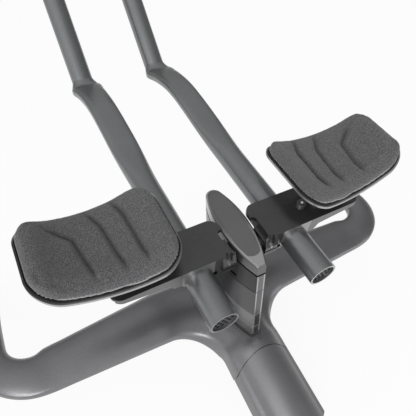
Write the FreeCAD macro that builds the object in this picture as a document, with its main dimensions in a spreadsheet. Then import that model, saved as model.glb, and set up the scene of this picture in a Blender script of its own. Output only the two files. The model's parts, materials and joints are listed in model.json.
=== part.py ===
"""Time trial handlebar: base bar with stem, aero post, wings, extensions and arm pads.

Millimetres. +X right, +Y forward, +Z up. The origin is the middle of the steerer clamp.
Pieces above the post are laid out in a tilted frame whose Y axis runs along the extensions.
"""
import FreeCAD
import Part
import Sketcher
import math
import os
from FreeCAD import Placement, Rotation, Vector

doc = FreeCAD.newDocument("time_trial_handlebar")
sheet = doc.addObject("Spreadsheet::Sheet", "Dimensions")

DIMENSIONS = (
    # steerer clamp and stem
    ("steerer_dia", 28.6),
    ("steerer_rake", 17.0),
    ("stem_reach", 112.0),
    ("stem_width", 54.0),
    ("stem_height", 37.0),
    ("stem_tail", 30.0),
    ("stem_end_radius", 46.0),
    ("cover_seam", 31.0),
    ("cover_bulge", 12.0),
    ("cover_wall", 2.2),
    ("cover_gap", 0.3),
    ("seam_gap", 0.6),
    ("clamp_top", 9.0),
    ("clamp_lip", 3.0),
    ("clamp_slit", 2.5),
    ("clamp_bolt_dia", 5.0),
    ("clamp_bolt_pitch", 15.0),
    # base bar and horns
    ("bar_top", 33.0),
    ("bar_chord", 51.0),
    ("bar_thickness", 23.0),
    ("arm_chord", 39.5),
    ("arm_thickness", 17.0),
    ("arm_drop", 7.5),
    ("arm_sweep", 1.0),
    ("facet_height", 6.0),
    ("junction_radius", 38.0),
    ("horn_spacing", 422.0),
    ("horn_width", 29.0),
    ("horn_tip_dia", 24.0),
    ("horn_reach", 136.0),
    ("horn_slope", 17.0),
    ("horn_bend_radius", 59.0),
    ("horn_bore_dia", 20.0),
    ("horn_bore_depth", 45.0),
    # aero post
    ("post_tail_y", 47.4),
    ("post_chord", 78.6),
    ("post_tail_width", 7.0),
    ("post_bevel", 1.4),
    ("post_nose_radius", 7.0),
    ("post_side_radius", 100.0),
    ("seat_margin", 1.2),
    ("seat_step", 0.4),
    ("seat_root", 14.0),
    ("block_chamfer", 0.4),
    ("foot_height", 3.0),
    ("low_height", 10.0),
    ("mid_height", 17.0),
    ("high_height", 30.0),
    ("head_gap", 1.8),
    ("post_bolt_dia", 5.0),
    ("post_bolt_rear", 9.0),
    ("post_bolt_front", 59.0),
    ("post_bolt_seat", 6.0),
    ("insert_dia", 8.0),
    ("insert_length", 12.0),
    ("cap_rear_height", 7.6),
    ("cap_crown_height", 11.4),
    ("cap_front_height", 8.6),
    ("cap_crown_at", 70.0),
    ("cap_bolt_dia", 4.0),
    ("cap_bolt_rear", 36.5),
    ("cap_bolt_front", 64.0),
    ("cap_bolt_length", 15.0),
    ("cap_edge_radius", 1.8),
    ("port_along", 73.0),
    ("port_height", 5.0),
    ("port_length", 11.0),
    ("port_width", 3.2),
    ("inlay_rear", 57.0),
    ("inlay_front", 121.0),
    ("inlay_width", 17.0),
    ("inlay_border", 1.9),
    ("inlay_depth", 1.2),
    # cross shaft and wings
    ("shaft_dia", 12.0),
    ("shaft_along", 46.4),
    ("shaft_height", 1.5),
    ("fit_gap", 0.1),
    ("eye_wall", 2.6),
    ("eye_inner", 13.0),
    ("eye_width", 11.0),
    ("eye_slit", 1.6),
    ("ear_height", 9.0),
    ("ear_wall", 1.9),
    ("pinch_bolt_dia", 3.0),
    ("pinch_bolt_length", 7.3),
    ("wing_rear", 38.0),
    ("wing_length", 34.5),
    ("wing_span", 106.0),
    ("wing_thickness", 4.0),
    ("lip_height", 9.0),
    ("lip_thickness", 2.5),
    ("cheek_width", 8.5),
    ("cheek_drop", 7.0),
    ("split_gap", 0.6),
    ("notch_length", 22.0),
    ("notch_width", 7.0),
    ("notch_from_root", 0.5),
    ("wing_corner", 8.0),
    # extensions
    ("extension_spacing", 85.0),
    ("extension_dia", 22.2),
    ("extension_wall", 1.6),
    ("extension_rear_y", 28.0),
    ("extension_rear_z", 108.0),
    ("extension_tilt", 10.5),
    ("extension_straight", 132.0),
    ("rear_bore_stop", 5.0),
    ("blade_width", 26.0),
    ("blade_end_width", 32.0),
    ("blade_thickness", 11.0),
    ("blade_crest_at", 236.0),
    ("blade_crest_rise", 6.0),
    ("blade_end_at", 311.0),
    ("blade_end_drop", 12.5),
    ("blade_end_slope", 22.0),
    ("grip_heel", 3.0),
    ("grip_angle", 39.5),
    ("grip_length", 122.0),
    ("front_bore_stop", 12.0),
    ("strap_length", 28.0),
    ("strap_wall", 2.4),
    ("strap_lug_height", 4.0),
    ("strap_bolt_dia", 4.0),
    ("plug_recess", 2.0),
    ("plug_thickness", 3.0),
    ("plug_hole_dia", 2.6),
    ("plug_hole_pitch", 3.7),
    # arm cups and pads
    ("pad_inner", 52.4),
    ("pad_outer", 147.7),
    ("pad_rear", 38.4),
    ("pad_front", 113.5),
    ("pad_rear_skew", 5.4),
    ("pad_front_skew", 11.2),
    ("pad_corner", 17.0),
    ("pad_thickness", 5.6),
    ("pad_low_line", 88.0),
    ("pad_outer_rise", 21.0),
    ("pad_inner_rise", 9.6),
    ("pad_edge_radius", 2.6),
    ("groove_radius", 2.2),
    ("groove_depth", 1.6),
    ("soft_gap", 0.3),
    ("backing_thickness", 1.2),
    ("backing_margin", 0.9),
    ("cup_margin", 2.3),
    ("cup_wall", 2.0),
    ("cup_standoff", 6.6),
    ("cup_boss_dia", 14.0),
    ("cup_bolt_dia", 4.0),
    ("cup_bolt_length", 9.0),
    ("cup_bolt_inner", 75.0),
    ("cup_bolt_outer", 97.0),
)

for row, (alias, value) in enumerate(DIMENSIONS, 1):
    sheet.set("A%d" % row, alias)
    sheet.set("B%d" % row, str(value))
    sheet.setAlias("B%d" % row, alias)
doc.recompute()


def size(alias):
    """The value of one named cell."""
    return float(getattr(sheet, alias))


def bind(obj, prop, expression):
    """Tie a property to the sheet, with cell names written bare."""
    names = sorted((alias for alias, _ in DIMENSIONS), key=len, reverse=True)
    words = []
    for word in expression.split():
        words.append("Dimensions." + word if word in names else word)
    obj.setExpression(prop, " ".join(words))


# frames

RAKE = math.radians(size("steerer_rake"))
STEM_DIRECTION = Vector(0, math.cos(RAKE), math.sin(RAKE))
stem_frame = Placement(Vector(0, 0, 0), Rotation(Vector(1, 0, 0), size("steerer_rake")))
tilt_frame = Placement(
    Vector(0, size("extension_rear_y"), size("extension_rear_z")),
    Rotation(Vector(1, 0, 0), size("extension_tilt")),
)
TUBE_X = size("extension_spacing") / 2
TUBE_R = size("extension_dia") / 2
FIT = size("fit_gap")


def tilted(x, y, z, rotation=None):
    """A placement given in the tilted frame of the extensions."""
    return tilt_frame.multiply(Placement(Vector(x, y, z), rotation or Rotation()))


ALONG_X = Rotation(Vector(0, 1, 0), 90)
ALONG_Y = Rotation(Vector(1, 0, 0), -90)


# small builders

def primitive(kind, name, placement, **expressions):
    """A Part primitive with its sizes bound to the sheet."""
    obj = doc.addObject("Part::" + kind, name)
    for prop, expression in expressions.items():
        bind(obj, prop, expression)
    obj.Placement = placement
    return obj


def cut(label, base, *tools):
    """One base less one or more tools."""
    obj = doc.addObject("Part::Cut", label)
    obj.Label = label
    obj.Base = base
    obj.Tool = tools[0] if len(tools) == 1 else fuse(label + "_tools", *tools)
    return obj


def fuse(label, *shapes):
    """Several shapes made into one."""
    obj = doc.addObject("Part::MultiFuse", label)
    obj.Label = label
    obj.Shapes = list(shapes)
    return obj


def group(label, *links):
    """Loose like solids kept as one node."""
    obj = doc.addObject("Part::Compound", label)
    obj.Label = label
    obj.Links = list(links)
    return obj


def mirrored(label, source):
    """The left-hand twin of a right-hand piece."""
    obj = doc.addObject("Part::Mirroring", label)
    obj.Label = label
    obj.Source = source
    obj.Normal = Vector(1, 0, 0)
    obj.Base = Vector(0, 0, 0)
    return obj


def solid_feature(label, shape, placement=None):
    """A freeform piece whose shape is worked out from the sheet."""
    obj = doc.addObject("Part::Feature", label)
    obj.Label = label
    obj.Shape = shape
    if placement is not None:
        obj.Placement = placement
    return obj


def socket_bolt(name, dia, length, placement, head_dia="1.75", head_height="0.7"):
    """A cap screw: its head stands on Z = 0, the shank runs down, a hex socket in the head."""
    head = primitive("Cylinder", name + "_head", Placement(),
                     Radius=dia + " / 2 * " + head_dia, Height=dia + " * " + head_height)
    shank = primitive("Cylinder", name + "_shank", Placement(),
                      Radius=dia + " / 2", Height=length)
    shank.Placement = Placement(Vector(), Rotation(Vector(1, 0, 0), 180))
    socket = doc.addObject("Part::Prism", name + "_socket")
    socket.Polygon = 6
    bind(socket, "Circumradius", dia + " * 0.42")
    bind(socket, "Height", dia + " * 0.5")
    socket.Placement = Placement(Vector(0, 0, size(dia) * (float(head_height) - 0.4)), Rotation())
    bolt = cut(name, fuse(name + "_blank", head, shank), socket)
    bolt.Placement = placement
    return bolt


def body_plane(body, role):
    """One of a body's own origin planes."""
    return next(f for f in body.Origin.OriginFeatures if f.Role == role)


def new_sketch(body, role, name):
    """A sketch on one of the body's origin planes."""
    sketch = body.newObject("Sketcher::SketchObject", name)
    sketch.AttachmentSupport = [(body_plane(body, role), "")]
    sketch.MapMode = "FlatFace"
    return sketch


def constrain(sketch, expression, *args):
    """A dimension of a sketch, bound to the sheet."""
    index = sketch.addConstraint(Sketcher.Constraint(*args))
    bind(sketch, "Constraints[%d]" % index, expression)
    return index


# base bar: sections from the stem round the junction to the horn tip

TOP_STATIONS = (0, 0.02, 0.05, 0.11, 0.16, 0.24, 0.37, 0.5, 0.63, 0.76, 0.84, 0.9, 0.95, 0.98)


def arm_profile(s):
    """Aerofoil: a long tail towards s = 0 and an elliptic nose at s = 1."""
    crest = 0.63
    if s < crest:
        return 1 - (1 - s / crest) ** 1.9
    return math.sqrt(max(0.0, 1 - ((s - crest) / (1 - crest)) ** 2))


def stem_profile(s):
    """Bell: steep flanks, a ledge, and a rounded hump over the middle."""
    edge = abs(2 * s - 1)
    flank = math.sqrt(max(0.0, 1 - edge ** 14))
    hump = max(0.0, 1 - (edge / 0.8) ** 2) ** 0.9
    return 0.57 * flank + 0.43 * hump


def belly_profile(s):
    """Flat underside with rounded lower corners."""
    return max(0.0, 1 - abs(2 * s - 1) ** 10) ** 0.5


def round_profile(s):
    """Ellipse."""
    return math.sqrt(max(0.0, 1 - (2 * s - 1) ** 2))


def closed_curve(points):
    """A smooth closed curve, with the same spacing of parameters for every section."""
    curve = Part.BSplineCurve()
    curve.interpolate(Points=points, PeriodicFlag=True,
                      Parameters=[i / len(points) for i in range(len(points) + 1)])
    return curve


def skin(curves):
    """A solid skinned over closed curves, with flat ends."""
    surface = Part.BSplineSurface()
    surface.buildFromNSections(curves)
    ends = [Part.Face(Part.Wire([curve.toShape()])) for curve in (curves[0], curves[-1])]
    shell = Part.makeCompound([surface.toShape()] + ends)
    shell.sewShape()
    solid = Part.Solid(shell.Shells[0])
    if solid.Volume < 0:
        solid.reverse()
    return solid


class Section:
    """One closed section: its outer edge, the way the chord runs, and its heights."""

    def __init__(self, edge, turn, lean, chord, top, bottom, edge_height, facet, kinds):
        self.edge = edge
        self.turn = math.radians(turn)
        self.lean = math.radians(lean)
        self.chord = chord
        self.top = top
        self.bottom = bottom
        self.edge_height = edge_height
        self.facet = facet
        self.kinds = kinds

    def curve(self):
        """The section as one smooth closed curve."""
        stem, arm, horn = self.kinds
        along = Vector(-math.cos(self.turn), math.sin(self.turn), 0)
        across = Vector(0, 0, 1).cross(along)
        up = Vector(0, 0, math.cos(self.lean)) - across * math.sin(self.lean)
        upper = []
        lower = []
        for s in TOP_STATIONS:
            rise = stem * stem_profile(s) + arm * arm_profile(s) + horn * round_profile(s)
            fall = stem * belly_profile(s) + arm * arm_profile(s) + horn * round_profile(s)
            high = self.edge_height + self.facet / 2
            low = self.edge_height - self.facet / 2
            foot = self.edge + along * (s * self.chord)
            upper.append(foot + up * (high + (self.top - high) * rise))
            lower.append(foot + up * (low - (low - self.bottom) * fall))
        nose = [self.edge + along * self.chord + up * self.edge_height]
        return closed_curve(upper + nose + lower[::-1])


def stem_section(along_stem, inset=0.0):
    """A section square to the stem, shrunk evenly by an inset."""
    half = size("stem_width") / 2 - inset
    rise = size("stem_height") / 2 - inset
    origin = STEM_DIRECTION * along_stem
    return Section(Vector(half, 0, 0) + origin, 0, -size("steerer_rake"), 2 * half,
                   rise, -rise, -0.7 * rise, 0.25 * rise, (1, 0, 0))


STEM_STEPS = 7
JUNCTION_STEPS = 9
ARM_STEPS = 8
BEND_STEPS = 6
HORN_STEPS = 4
EDGE_SINK = 0.12


def blend(start, stop, share):
    """Straight interpolation between two values."""
    return start + (stop - start) * share


def shares(steps):
    """Even fractions up to and including one."""
    return [(step + 1) / steps for step in range(steps)]


def stem_sections(pivot_y):
    """Even runs of the stem up to where its flanks start to flare."""
    first = -size("stem_tail") - 8
    last = pivot_y / math.cos(RAKE)
    return [stem_section(first)] + [stem_section(blend(first, last, share)) for share in shares(STEM_STEPS)]


def junction_sections(pivot):
    """A fan of sections that turns from across the stem to across the arm."""
    stem_half = size("stem_height") / 2
    bar_half = size("bar_thickness") / 2
    stem_middle = pivot.y * math.tan(RAKE)
    radius = size("junction_radius")
    across_stem = size("stem_width") + radius
    across_bar = size("bar_chord") + radius
    crossover = math.radians(45)
    fan = []
    for share in shares(JUNCTION_STEPS):
        ease = share * share * (3 - 2 * share)
        angle = math.radians(90 * share)
        to_front = across_bar / math.sin(max(angle, crossover))
        span = blend(across_stem, to_front, min(1.0, angle / crossover)) - radius
        half = blend(stem_half, bar_half, ease)
        middle = blend(stem_middle, size("bar_top") - bar_half, ease)
        edge = pivot + Vector(-math.cos(angle), math.sin(angle), 0) * radius + Vector(0, 0, middle)
        sink = blend(-0.7 * stem_half, -2 * EDGE_SINK * bar_half, ease)
        facet = blend(0.25 * stem_half, size("facet_height"), ease)
        fan.append(Section(edge, 90 * share, -size("steerer_rake") * (1 - ease), span,
                           half, -half, sink, facet, (1 - ease, ease, 0)))
    return fan


def arm_sections(start_x, stop_x, middle_y):
    """The tapering arm, from the junction to the start of the bend."""
    arm = []
    for share in shares(ARM_STEPS):
        chord = blend(size("bar_chord"), size("arm_chord"), share)
        half = blend(size("bar_thickness"), size("arm_thickness"), share) / 2
        top = size("bar_top") - size("arm_drop") * share
        y = blend(size("stem_reach"), middle_y, share) - chord / 2
        arm.append(Section(Vector(blend(start_x, stop_x, share), y, top - half), 90, 0, chord,
                           half, -half, -2 * EDGE_SINK * half, size("facet_height"), (0, 1, 0)))
    return arm


def bend_sections(centre, middle_z):
    """The turn from the arm into the horn, where the aerofoil rounds off."""
    radius = size("horn_bend_radius")
    bend = []
    for share in shares(BEND_STEPS):
        angle = math.radians(90 * share)
        chord = blend(size("arm_chord"), size("horn_width"), 1 - (1 - share) ** 2)
        edge = centre + Vector(math.sin(angle), -math.cos(angle), 0) * radius
        half = size("arm_thickness") / 2 + share
        bend.append(Section(edge + Vector(0, 0, middle_z), 90 - 90 * share, 0, chord, half, -half,
                            -2 * EDGE_SINK * half * (1 - share), blend(size("facet_height"), 2, share),
                            (0, 1 - share, share)))
    return bend


def horn_sections(start_y, middle_z):
    """The horn: it droops, runs straight round its bore and ends round."""
    straight = size("horn_bore_depth") + 5
    curved = size("stem_reach") + size("horn_reach") - straight - start_y
    fall = math.tan(math.radians(size("horn_slope")))
    start_thickness = size("arm_thickness") + 2
    runs = [(share, 0) for share in shares(HORN_STEPS)] + [(1.0, share) for share in shares(HORN_STEPS)]
    horn = []
    for share, run in runs:
        y = start_y + curved * share + straight * run
        z = middle_z - fall * (curved * share * share / 2 + straight * run)
        taper = (y - start_y) / (curved + straight)
        width = blend(size("horn_width"), size("horn_tip_dia"), taper)
        half = blend(start_thickness, size("horn_tip_dia"), taper) / 2
        edge = Vector(size("horn_spacing") / 2 + width / 2, y, z)
        horn.append(Section(edge, 0, size("horn_slope") * share, width, half, -half, 0, 2 - taper, (0, 0, 1)))
    return horn


def bar_sections():
    """The right half, from behind the steerer to the tip of the right horn."""
    radius = size("junction_radius")
    rear = size("stem_reach") - size("bar_chord") / 2
    pivot = Vector(size("stem_width") / 2 + radius, rear - radius, 0)
    bend_x = size("horn_spacing") / 2 + size("horn_width") / 2 - size("horn_bend_radius")
    arm_y = size("stem_reach") + size("arm_sweep")
    bend = Vector(bend_x, arm_y - size("arm_chord") / 2 + size("horn_bend_radius"), 0)
    arm_z = size("bar_top") - size("arm_drop") - size("arm_thickness") / 2
    return (stem_sections(pivot.y) + junction_sections(pivot) + arm_sections(pivot.x, bend_x, arm_y)
            + bend_sections(bend, arm_z) + horn_sections(bend.y, arm_z))


def right_half():
    """Everything on the right of the middle plane."""
    reach = 2 * size("horn_spacing")
    return Part.makeBox(reach, 2 * reach, 2 * reach, Vector(0, -reach, -reach))


def teardrop_points(margin=0.0):
    """Tail corner, bevel end and tangent point of the post's plan, on the right side."""
    tail_y = size("post_tail_y") - margin
    tail = size("post_tail_width") / 2 + margin
    bevel = size("post_bevel")
    nose_r = size("post_nose_radius") + margin
    side_r = size("post_side_radius") + margin
    nose = Vector(0, size("post_tail_y") + size("post_chord") - size("post_nose_radius"), 0)
    start = Vector(tail + bevel * 0.6, tail_y + bevel, 0)
    apart = nose - start
    span = apart.Length
    near = side_r
    far = side_r - nose_r
    along = (near * near - far * far + span * span) / (2 * span)
    off = math.sqrt(near * near - along * along)
    direction = apart / span
    centre = start + direction * along + Vector(-direction.y, direction.x, 0) * off
    tangent = nose + (nose - centre).normalize() * nose_r
    return Vector(tail, tail_y, 0), start, centre, tangent, nose


def teardrop_face(margin=0.0):
    """The post's plan as a face."""
    corner, start, centre, tangent, nose = teardrop_points(margin)
    flip = lambda p: Vector(-p.x, p.y, p.z)
    side_mid = centre + ((start - centre) + (tangent - centre)).normalize() * (start - centre).Length
    tip = nose + Vector(0, size("post_nose_radius") + margin, 0)
    edges = [
        Part.LineSegment(flip(corner), corner).toShape(),
        Part.LineSegment(corner, start).toShape(),
        Part.Arc(start, side_mid, tangent).toShape(),
        Part.Arc(tangent, tip, flip(tangent)).toShape(),
        Part.Arc(flip(tangent), flip(side_mid), flip(start)).toShape(),
        Part.LineSegment(flip(start), flip(corner)).toShape(),
    ]
    return Part.Face(Part.Wire(edges))


def stem_end_prism(inset):
    """The rounded rear end of the stem, seen along the steerer."""
    half = size("stem_width") / 2 - inset
    tail = size("stem_tail") - inset
    bow = size("stem_end_radius") - math.sqrt(size("stem_end_radius") ** 2 - half ** 2)
    front = size("stem_reach")
    height = 3 * size("stem_height")
    edges = [
        Part.LineSegment(Vector(half, front, 0), Vector(-half, front, 0)).toShape(),
        Part.LineSegment(Vector(-half, front, 0), Vector(-half, bow - tail, 0)).toShape(),
        Part.Arc(Vector(-half, bow - tail, 0), Vector(0, -tail, 0), Vector(half, bow - tail, 0)).toShape(),
        Part.LineSegment(Vector(half, bow - tail, 0), Vector(half, front, 0)).toShape(),
    ]
    prism = Part.Face(Part.Wire(edges)).extrude(Vector(0, 0, height))
    prism.Placement = stem_frame.multiply(Placement(Vector(0, 0, -height / 2), Rotation()))
    return prism


def stem_prism(inset, start, stop):
    """A straight run of the stem's section between two places along the stem."""
    face = Part.Face(Part.Wire([stem_section(start, inset).curve().toShape()]))
    return face.extrude(STEM_DIRECTION * (stop - start))


def behind_seam(offset):
    """Everything behind the cover's bowed seam, moved along the stem by an offset."""
    reach = size("horn_spacing")
    half = size("stem_width") * 0.55
    seam = size("cover_seam") + offset
    low = -reach / 2
    corners = [Vector(x, y, low) for x, y in ((half, seam), (half, -reach), (-half, -reach), (-half, seam))]
    edges = [Part.LineSegment(start, stop).toShape() for start, stop in zip(corners, corners[1:])]
    edges.append(Part.Arc(corners[-1], Vector(0, seam + size("cover_bulge"), low), corners[0]).toShape())
    prism = Part.Face(Part.Wire(edges)).extrude(Vector(0, 0, reach))
    prism.Placement = stem_frame
    return prism


SEAT_Z = size("bar_top") + size("seat_step")
CORE_INSET = size("cover_wall") + size("cover_gap")
SEAM_FRONT = size("cover_seam") + size("cover_bulge")
POST_BOLTS = [size("post_tail_y") + size(name) for name in ("post_bolt_rear", "post_bolt_front")]
CLAMP_BOLT_BACK = size("steerer_dia") / 2 + size("clamp_bolt_dia") * 1.1
CLAMP_BOLT_SPAN = size("stem_width") * 0.5


def bolt_hole(placement, radius, depth):
    """A round hole whose mouth is at the placement and that runs down its Z axis."""
    hole = Part.makeCylinder(radius, depth)
    hole.Placement = placement.multiply(Placement(Vector(0, 0, -depth), Rotation()))
    return hole


def clamp_bolt_placement(side):
    """Where the head of one steerer clamp bolt sits, on the right flank of the clamp."""
    height = side * size("clamp_bolt_pitch") / 2
    spot = Vector(CLAMP_BOLT_SPAN / 2 - 2, -CLAMP_BOLT_BACK, height - 3)
    return stem_frame.multiply(Placement(spot, ALONG_X))


def horn_tip_placement():
    """The mouth of the right horn's bore, looking back into the horn."""
    last = bar_sections()[-1]
    middle = last.edge - Vector(last.chord / 2, 0, 0)
    return Placement(middle, Rotation(Vector(1, 0, 0), -90 - size("horn_slope")))


def above_clamp():
    """The room over the flat top of the clamp, where the steerer's end stays under the cover."""
    width = 2 * size("stem_width")
    front = size("steerer_dia") / 2 + size("clamp_lip")
    room = Part.makeBox(width, size("stem_reach"), size("stem_height"))
    corner = Vector(-width / 2, front - size("stem_reach"), size("clamp_top"))
    room.Placement = stem_frame.multiply(Placement(corner, Rotation()))
    return room


def make_base_bar():
    """The moulding, with its clamp, its flat post seat and its bores."""
    right = skin([section.curve() for section in bar_sections()]).common(right_half())
    left = right.mirror(Vector(0, 0, 0), Vector(1, 0, 0))
    seat = teardrop_face(size("seat_margin")).extrude(Vector(0, 0, size("seat_step") + size("seat_root")))
    seat.translate(Vector(0, 0, size("bar_top") - size("seat_root")))
    post_room = teardrop_face(size("seat_margin")).extrude(Vector(0, 0, size("post_chord")))
    post_room.translate(Vector(0, 0, SEAT_Z))
    whole = right.fuse(left).fuse(seat).cut(post_room)
    core = stem_prism(CORE_INSET, -size("stem_tail") - 5, SEAM_FRONT + 3)
    core = core.common(stem_end_prism(CORE_INSET)).cut(above_clamp())
    bar = whole.cut(behind_seam(0)).fuse(core)

    height = 2 * size("stem_height")
    bore = Part.makeCylinder(size("steerer_dia") / 2, height, Vector(0, 0, -height / 2))
    slit = Part.makeBox(size("clamp_slit"), size("stem_tail"), height,
                        Vector(-size("clamp_slit") / 2, -size("stem_tail"), -height / 2))
    for tool in (bore, slit):
        tool.Placement = stem_frame.multiply(tool.Placement)
    cuts = [bore, slit]
    for side in (-1, 1):
        spot = clamp_bolt_placement(side)
        cuts.append(bolt_hole(spot, size("clamp_bolt_dia") / 2 + FIT, CLAMP_BOLT_SPAN + 2))
        sink = Part.makeCylinder(size("clamp_bolt_dia") * 0.875 + FIT, size("stem_width"))
        sink.Placement = spot
        cuts.append(sink)
    for y in POST_BOLTS:
        spot = Placement(Vector(0, y, SEAT_Z), Rotation())
        cuts.append(bolt_hole(spot, size("insert_dia") / 2, size("insert_length")))
    tip = horn_tip_placement()
    grip = bolt_hole(tip, size("horn_bore_dia") / 2, size("horn_bore_depth"))
    cuts += [grip, grip.mirror(Vector(0, 0, 0), Vector(1, 0, 0))]
    return bar.cut(Part.makeCompound(cuts))


def make_stem_cover():
    """The shell behind the seam, open underneath."""
    wall = size("cover_wall")
    outside = stem_prism(0, -size("stem_tail") - 5, SEAM_FRONT).common(stem_end_prism(0))
    inside = stem_prism(wall, -size("stem_tail") - 5, SEAM_FRONT + 5).common(stem_end_prism(wall))
    width = 2 * size("stem_width")
    under = Part.makeBox(width, 4 * size("stem_reach"), size("stem_height"),
                         Vector(-width / 2, -2 * size("stem_reach"), -1.5 * size("stem_height") + 2 * wall))
    under.Placement = stem_frame.multiply(under.Placement)
    return outside.common(behind_seam(-size("seam_gap"))).cut(inside).cut(under)


base_bar = solid_feature("base_bar", make_base_bar())
stem_cover = solid_feature("stem_cover", make_stem_cover())
steerer_clamp_bolts = group("steerer_clamp_bolts", *[
    socket_bolt("clamp_bolt_%d" % n, "clamp_bolt_dia", "stem_width * 0.45", clamp_bolt_placement(side))
    for n, side in enumerate((-1, 1))])


# aero post

def teardrop_sketch(body, name):
    """The post's plan, fully constrained: blunt tail, bevels, long sides and a round nose."""
    sketch = new_sketch(body, "XY_Plane", name)
    corner, start, centre, tangent, nose = teardrop_points()
    flip = lambda p: Vector(-p.x, p.y, p.z)
    angle = lambda p, c: math.atan2(p.y - c.y, p.x - c.x)
    up = Vector(0, 0, 1)
    left = flip(centre)
    right_arc = Part.Circle(centre, up, size("post_side_radius"))
    nose_arc = Part.Circle(nose, up, size("post_nose_radius"))
    left_arc = Part.Circle(left, up, size("post_side_radius"))
    full = 2 * math.pi
    sketch.addGeometry(Part.LineSegment(flip(corner), corner))
    sketch.addGeometry(Part.LineSegment(corner, start))
    sketch.addGeometry(Part.ArcOfCircle(right_arc, angle(start, centre), angle(tangent, centre)))
    sketch.addGeometry(Part.ArcOfCircle(nose_arc, angle(tangent, nose), angle(flip(tangent), nose)))
    left_ends = (angle(flip(tangent), left), angle(flip(start), left) % full)
    sketch.addGeometry(Part.ArcOfCircle(left_arc, *left_ends))
    sketch.addGeometry(Part.LineSegment(flip(start), flip(corner)))
    for a, b in ((0, 1), (1, 2), (4, 5), (5, 0)):
        sketch.addConstraint(Sketcher.Constraint("Coincident", a, 2, b, 1))
    for a, b in ((2, 3), (3, 4)):
        sketch.addConstraint(Sketcher.Constraint("Tangent", a, 2, b, 1))
    sketch.addConstraint(Sketcher.Constraint("Symmetric", 0, 1, 0, 2, -2))
    sketch.addConstraint(Sketcher.Constraint("Symmetric", 1, 2, 5, 1, -2))
    sketch.addConstraint(Sketcher.Constraint("PointOnObject", 3, 3, -2))
    sketch.addConstraint(Sketcher.Constraint("Equal", 2, 4))
    bevel = size("post_bevel")
    constrain(sketch, "post_tail_width", "DistanceX", 0, 1, 0, 2, size("post_tail_width"))
    constrain(sketch, "post_tail_y", "DistanceY", -1, 1, 0, 1, size("post_tail_y"))
    constrain(sketch, "post_bevel * 0.6", "DistanceX", 0, 2, 1, 2, bevel * 0.6)
    constrain(sketch, "post_bevel", "DistanceY", 0, 2, 1, 2, bevel)
    constrain(sketch, "post_nose_radius", "Radius", 3, size("post_nose_radius"))
    constrain(sketch, "post_tail_y + post_chord - post_nose_radius", "DistanceY", -1, 1, 3, 3, nose.y)
    constrain(sketch, "post_side_radius", "Radius", 2, size("post_side_radius"))
    return sketch


def round_sketch(body, role, name, holes):
    """Circles given as (radius, x, y) expressions, each tied to the sheet."""
    sketch = new_sketch(body, role, name)
    for index, (radius, x, y) in enumerate(holes):
        r, cx, cy = (sheet.evalExpression(text) for text in (radius, x, y))
        sketch.addGeometry(Part.Circle(Vector(cx, cy, 0), Vector(0, 0, 1), r))
        constrain(sketch, radius, "Radius", index, r)
        constrain(sketch, x, "DistanceX", -1, 1, index, 3, cx)
        constrain(sketch, y, "DistanceY", -1, 1, index, 3, cy)
    return sketch


def polygon_sketch(body, role, name, corners):
    """A closed outline whose corners are pairs of expressions."""
    sketch = new_sketch(body, role, name)
    spots = [Vector(sheet.evalExpression(x), sheet.evalExpression(y), 0) for x, y in corners]
    count = len(spots)
    for index in range(count):
        sketch.addGeometry(Part.LineSegment(spots[index], spots[(index + 1) % count]))
    for index in range(count):
        sketch.addConstraint(Sketcher.Constraint("Coincident", index, 2, (index + 1) % count, 1))
    for index, (x, y) in enumerate(corners):
        constrain(sketch, x, "DistanceX", -1, 1, index, 1, spots[index].x)
        constrain(sketch, y, "DistanceY", -1, 1, index, 1, spots[index].y)
    return sketch


def pad(body, sketch, name, length, reverse=False):
    """Material added from a sketch."""
    feature = body.newObject("PartDesign::Pad", name)
    feature.Profile = sketch
    bind(feature, "Length", length)
    feature.Reversed = reverse
    return feature


def pocket(body, sketch, name, length=None, reverse=False):
    """Material removed by a sketch, through everything unless a length is given."""
    feature = body.newObject("PartDesign::Pocket", name)
    feature.Profile = sketch
    if length is None:
        feature.Type = 1
        feature.Midplane = True
    else:
        bind(feature, "Length", length)
        feature.Reversed = reverse
    return feature


def offset_sketch(sketch, expression):
    """Move a sketch along its own normal."""
    bind(sketch, "AttachmentOffset.Base.z", expression)
    return sketch


def new_body(label, placement=None):
    """An empty body with its own label."""
    body = doc.addObject("PartDesign::Body", label)
    body.Label = label
    if placement is not None:
        body.Placement = placement
    return body


def post_block(label, bottom, height):
    """One block of the post with the two long bolts' holes through it."""
    body = new_body(label)
    pad(body, teardrop_sketch(body, label + "_plan"), label + "_pad", height)
    holes = [("post_bolt_dia / 2 + fit_gap", "0 * post_chord", "post_tail_y + " + spot)
             for spot in ("post_bolt_rear", "post_bolt_front")]
    bores = pocket(body, round_sketch(body, "XY_Plane", label + "_holes", holes), label + "_bores")
    bind(body, "Placement.Base.z", bottom)
    doc.recompute()
    broken = body.newObject("PartDesign::Chamfer", label + "_broken_edges")
    broken.Base = (bores, rim_edges(bores.Shape))
    bind(broken, "Size", "block_chamfer")
    return body


def rim_edges(shape):
    """Names of the outer edges round the top and bottom of a block."""
    names = []
    for index, edge in enumerate(shape.Edges, 1):
        level = edge.BoundBox.ZLength < 0.01
        bore = edge.Curve.TypeId == "Part::GeomCircle" and edge.isClosed()
        if level and not bore:
            names.append("Edge%d" % index)
    return names


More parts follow.
